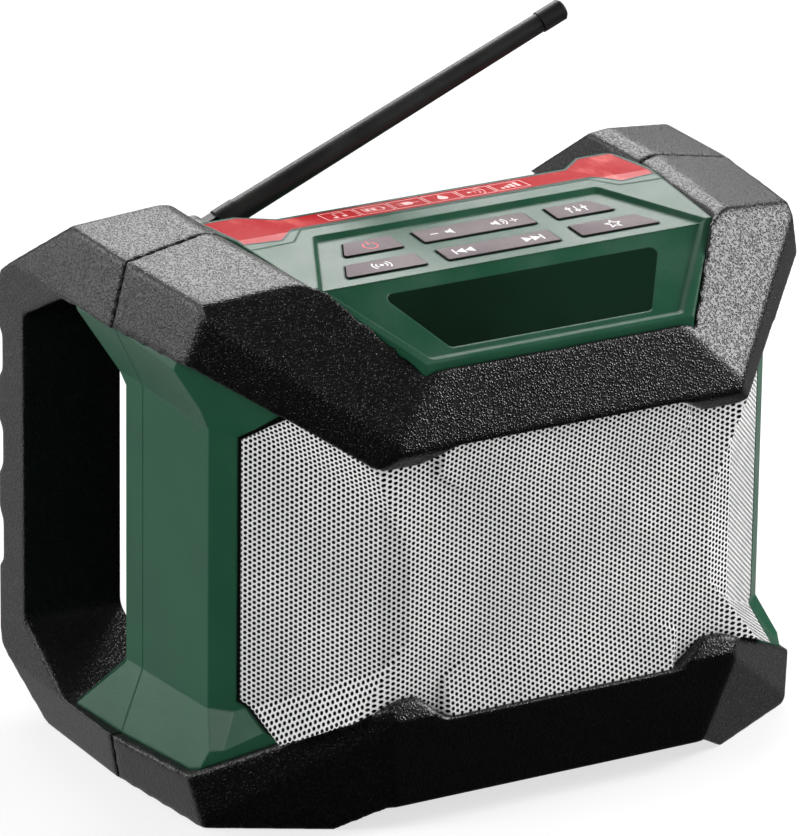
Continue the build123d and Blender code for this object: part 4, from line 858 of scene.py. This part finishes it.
def marks(label, face, strokes, fills, width, material, body, slot, low, high):
    """Thin raised print: each stroke is a ribbon and each fill a convex plate, from low to high
    along the normal of the face."""
    points, faces, count = [], [], 0
    for line, closed in strokes:
        left, right = ribbon(line, width, closed)
        n = len(left)
        points += [face.at(left, high), face.at(right, high), face.at(left, low), face.at(right, low)]
        i = np.arange(n if closed else n - 1)
        j = (i + 1) % n
        lt, rt, lb, rb = (count + k * n for k in range(4))
        faces += np.stack([lt + i, rt + i, rt + j, lt + j], -1).tolist()
        faces += np.stack([lb + j, rb + j, rb + i, lb + i], -1).tolist()
        faces += np.stack([lt + j, lb + j, lb + i, lt + i], -1).tolist()
        faces += np.stack([rt + i, rb + i, rb + j, rt + j], -1).tolist()
        if not closed:
            faces += [(lt, lb, rb, rt), (lt + n - 1, rt + n - 1, rb + n - 1, lb + n - 1)]
        count += 4 * n
    for outline in fills:
        outline = np.asarray(outline, float)
        n = len(outline)
        points += [face.at(outline, high), face.at(outline, low)]
        i = np.arange(n)
        j = (i + 1) % n
        faces += [(count + i).tolist(), (count + n + i[::-1]).tolist()]
        faces += np.stack([count + j, count + i, count + n + i, count + n + j], -1).tolist()
        count += 2 * n
    add_piece(label, np.concatenate(points), faces, body, slot, material)


def circle(cx, cy, radius, start=0.0, end=360.0, n=28):
    """Points on an arc, in degrees anticlockwise from the right."""
    t = np.radians(np.linspace(start, end, n, endpoint=abs(end - start) < 359.9))
    return np.stack([cx + radius * np.cos(t), cy + radius * np.sin(t)], -1)


def box_line(x0, x1, y0, y1):
    """Corners of a rectangle."""
    return [(x0, y0), (x1, y0), (x1, y1), (x0, y1)]


PRINT_LOW, PRINT_HIGH = -0.04, 0.05                         # of the key signs, from the key's top
SIGN_LINE, LABEL_LINE, BORDER_LINE = 0.55, 0.3, 0.6         # widths of the strokes
WHITE_PRINT = printed("key_print", rgb(226, 222, 222))
RED_PRINT = printed("power_print", rgb(214, 60, 66))
LABEL_PRINT = printed("label_print", rgb(240, 190, 186))
KEY_TOP = -1.0                                              # key tops below the face of the panel


def key_prints():
    """Signs on the keys: power, source, quieter and louder, back and on, tone and store.  x is the
    middle of a sign, and the rows are the middles of the rear and front keys."""
    row_a, row_b = -12.5, -29.2

    def put(name, body, strokes, fills, material=WHITE_PRINT):
        marks(name, KEY_FACE, strokes, fills, SIGN_LINE, material, body, "key_grey",
              KEY_TOP + PRINT_LOW, KEY_TOP + PRINT_HIGH)

    x = -40.6
    put("power_sign", "power_key", [(circle(x, row_a - 0.2, 2.6, 125, 415), False),
                                    ([(x, row_a + 0.6), (x, row_a + 3.3)], False)], [], RED_PRINT)
    x = -45.4
    put("source_sign", "mode_key",
        [(circle(x, row_b, r, a, b, 14), False) for r in (2.0, 3.4) for a, b in ((-42, 42), (138, 222))],
        [circle(x, row_b, 0.75, n=14)])
    x = -15.6
    put("quieter_sign", "volume_key", [([(x - 1.5, row_a), (x + 1.5, row_a)], False)],
        [box_line(x + 4.4, x + 5.6, row_a - 0.8, row_a + 0.8),
         [(x + 5.6, row_a - 0.8), (x + 7.2, row_a - 2.2), (x + 7.2, row_a + 2.2), (x + 5.6, row_a + 0.8)]])
    x = 15.6
    put("louder_sign", "volume_key", [([(x - 1.6, row_a), (x + 1.6, row_a)], False),
                                      ([(x, row_a - 1.6), (x, row_a + 1.6)], False),
                                      (circle(x - 6.2, row_a, 2.0, -50, 50, 10), False),
                                      (circle(x - 6.2, row_a, 3.2, -50, 50, 12), False)],
        [box_line(x - 8.9, x - 7.7, row_a - 0.8, row_a + 0.8),
         [(x - 7.7, row_a - 0.8), (x - 6.1, row_a - 2.2), (x - 6.1, row_a + 2.2), (x - 7.7, row_a + 0.8)]])
    for sign, name in ((-1, "back_sign"), (1, "onward_sign")):
        tip = sign * 13.6
        arrows = [[(tip + sign * s, row_b - 2.1), (tip + sign * (s + 3.4), row_b),
                   (tip + sign * s, row_b + 2.1)] for s in (-3.8, -0.4)]
        bar = box_line(*sorted((tip + sign * 3.2, tip + sign * 3.9)), row_b - 2.1, row_b + 2.1)
        put(name, "track_key", [], [a if sign > 0 else a[::-1] for a in arrows] + [bar])
    x = 40.6
    put("tone_sign", "eq_key",
        [([(x + dx, row_a - 2.5), (x + dx, row_a + 2.5)], False) for dx in (-3.0, 0, 3.0)],
        [box_line(x + dx - 1.0, x + dx + 1.0, row_a + dy - 0.6, row_a + dy + 0.6)
         for dx, dy in ((-3.0, 1.0), (0, -1.2), (3.0, 0.4))])
    x = 45.4
    t = np.radians(90 + 36 * np.arange(10))
    r = np.where(np.arange(10) % 2 == 0, 3.0, 1.35)
    put("store_sign", "preset_key", [(np.stack([x + r * np.cos(t), row_b + r * np.sin(t)], -1), True)], [])


def label_prints():
    """Row of thin boxes on the label, with plain signs: note, cell, plug, drop, waves and bars."""
    strokes, fills = [], []
    pitch, wide, high, low = 13.4, 12.4, 13.2, 4.6
    left = [-43.0 + pitch * k for k in range(6)]
    strokes += [(box_line(x, x + wide, low, high), True) for x in left]
    mid = [x + wide / 2 for x in left]
    y = (low + high) / 2
    x = mid[0]
    strokes += [([(x - 1.6, y - 2.0), (x - 1.6, y + 2.6), (x + 2.0, y + 3.1), (x + 2.0, y - 1.4)], False)]
    fills += [circle(x - 2.3, y - 2.1, 0.95, n=12), circle(x + 1.3, y - 1.5, 0.95, n=12)]
    x = mid[1]
    strokes += [(box_line(x - 4.0, x + 3.2, y - 2.1, y + 2.1), True)]
    fills += [box_line(x + 3.4, x + 4.2, y - 0.9, y + 0.9), box_line(x - 3.2, x - 1.6, y - 1.3, y + 1.3),
              box_line(x - 0.9, x + 0.7, y - 1.3, y + 1.3)]
    x = mid[2]
    fills += [[(x - 2.0, y - 1.8), (x + 0.9, y - 1.8), (x + 2.0, y), (x + 0.9, y + 1.8), (x - 2.0, y + 1.8)]]
    strokes += [([(x - 3.9, y + 1.0), (x - 2.0, y + 1.0)], False),
                ([(x - 3.9, y - 1.0), (x - 2.0, y - 1.0)], False), ([(x + 2.0, y), (x + 4.2, y)], False)]
    x = mid[3]
    fills += [np.concatenate([circle(x, y - 0.8, 1.9, 150, 390, 16), [(x, y + 3.2)]])]
    x = mid[4]
    strokes += [(circle(x - 2.4, y, r, -46, 46, 12), False) for r in (2.0, 3.7, 5.4)]
    fills += [circle(x - 2.6, y, 0.8, n=12)]
    x = mid[5]
    fills += [box_line(x - 4.0 + 2.1 * k, x - 2.7 + 2.1 * k, y - 2.4, y - 2.4 + h)
              for k, h in enumerate((1.5, 2.8, 4.1, 5.2))]
    marks("label_signs", LABEL_FACE, strokes, fills, LABEL_LINE, LABEL_PRINT, "radio", "label_red",
          -0.04, 0.04)


class Strip:
    """The rear strip, which falls to either side of its ridge."""

    ridge, fall_rear, fall_front = -3.0, 0.0824, 0.0588

    def at(self, xy, lift):
        """Points in space from places in plan, raised by lift."""
        xy = np.asarray(xy, float)
        y = xy[:, 1]
        z = TOP - 1.6 - np.where(y > self.ridge, self.fall_rear, -self.fall_front) * (y - self.ridge)
        return np.stack([xy[:, 0], y, z + lift], -1)


def label_border():
    """Dark line let into the joint round the label."""
    right = [(80.9, -3.0), (80.9, 22.7), (67.6, 22.7), (56.6, 12.2)]
    front = [(59.0, -0.8), (61.3, -3.0), (67.0, -8.5), (80.9, -7.0)]
    line = right + [(-x, y) for x, y in right[::-1]]
    line += [(-x, y) for x, y in front[::-1]] + front
    marks("label_border", Strip(), [(line, True)], [], BORDER_LINE, FINISH["part_black"], "radio",
          "part_black", -0.1, 0.06)


key_prints()
label_prints()
label_border()


# ---------------------------------------------------------------- floor
FLOOR_HALF = 12.0
FLOOR_LIFT = 0.7                                            # share of plain white that the camera sees


def make_floor():
    """Pale floor.  What the camera sees of it is lifted towards white, and keeps the shadow."""
    f = Finish("studio_floor", Specular_IOR_Level=0.1)
    f.colour(f.mix(f.noise(f.coords, 2.0, 2.0, 0.5), (0.93, 0.93, 0.93, 1), (0.97, 0.97, 0.97, 1)))
    f.rough(0.8)
    lift = f.math("MULTIPLY", f.add("ShaderNodeLightPath").outputs["Is Camera Ray"], FLOOR_LIFT)
    white = f.add("ShaderNodeEmission").outputs[0]
    out = f.tree.nodes["Material Output"]
    f.link(f.blend(lift, f.shader.outputs[0], white), out.inputs["Surface"])
    mesh = bpy.data.meshes.new("studio_floor")
    corners = [(x * FLOOR_HALF, y * FLOOR_HALF, 0) for x, y in ((-1, -1), (1, -1), (1, 1), (-1, 1))]
    mesh.from_pydata(corners, [], [(0, 1, 2, 3)])
    obj = new_object("studio_floor", mesh)
    obj.visible_glossy = False
    mesh.materials.append(f.material)


make_floor()
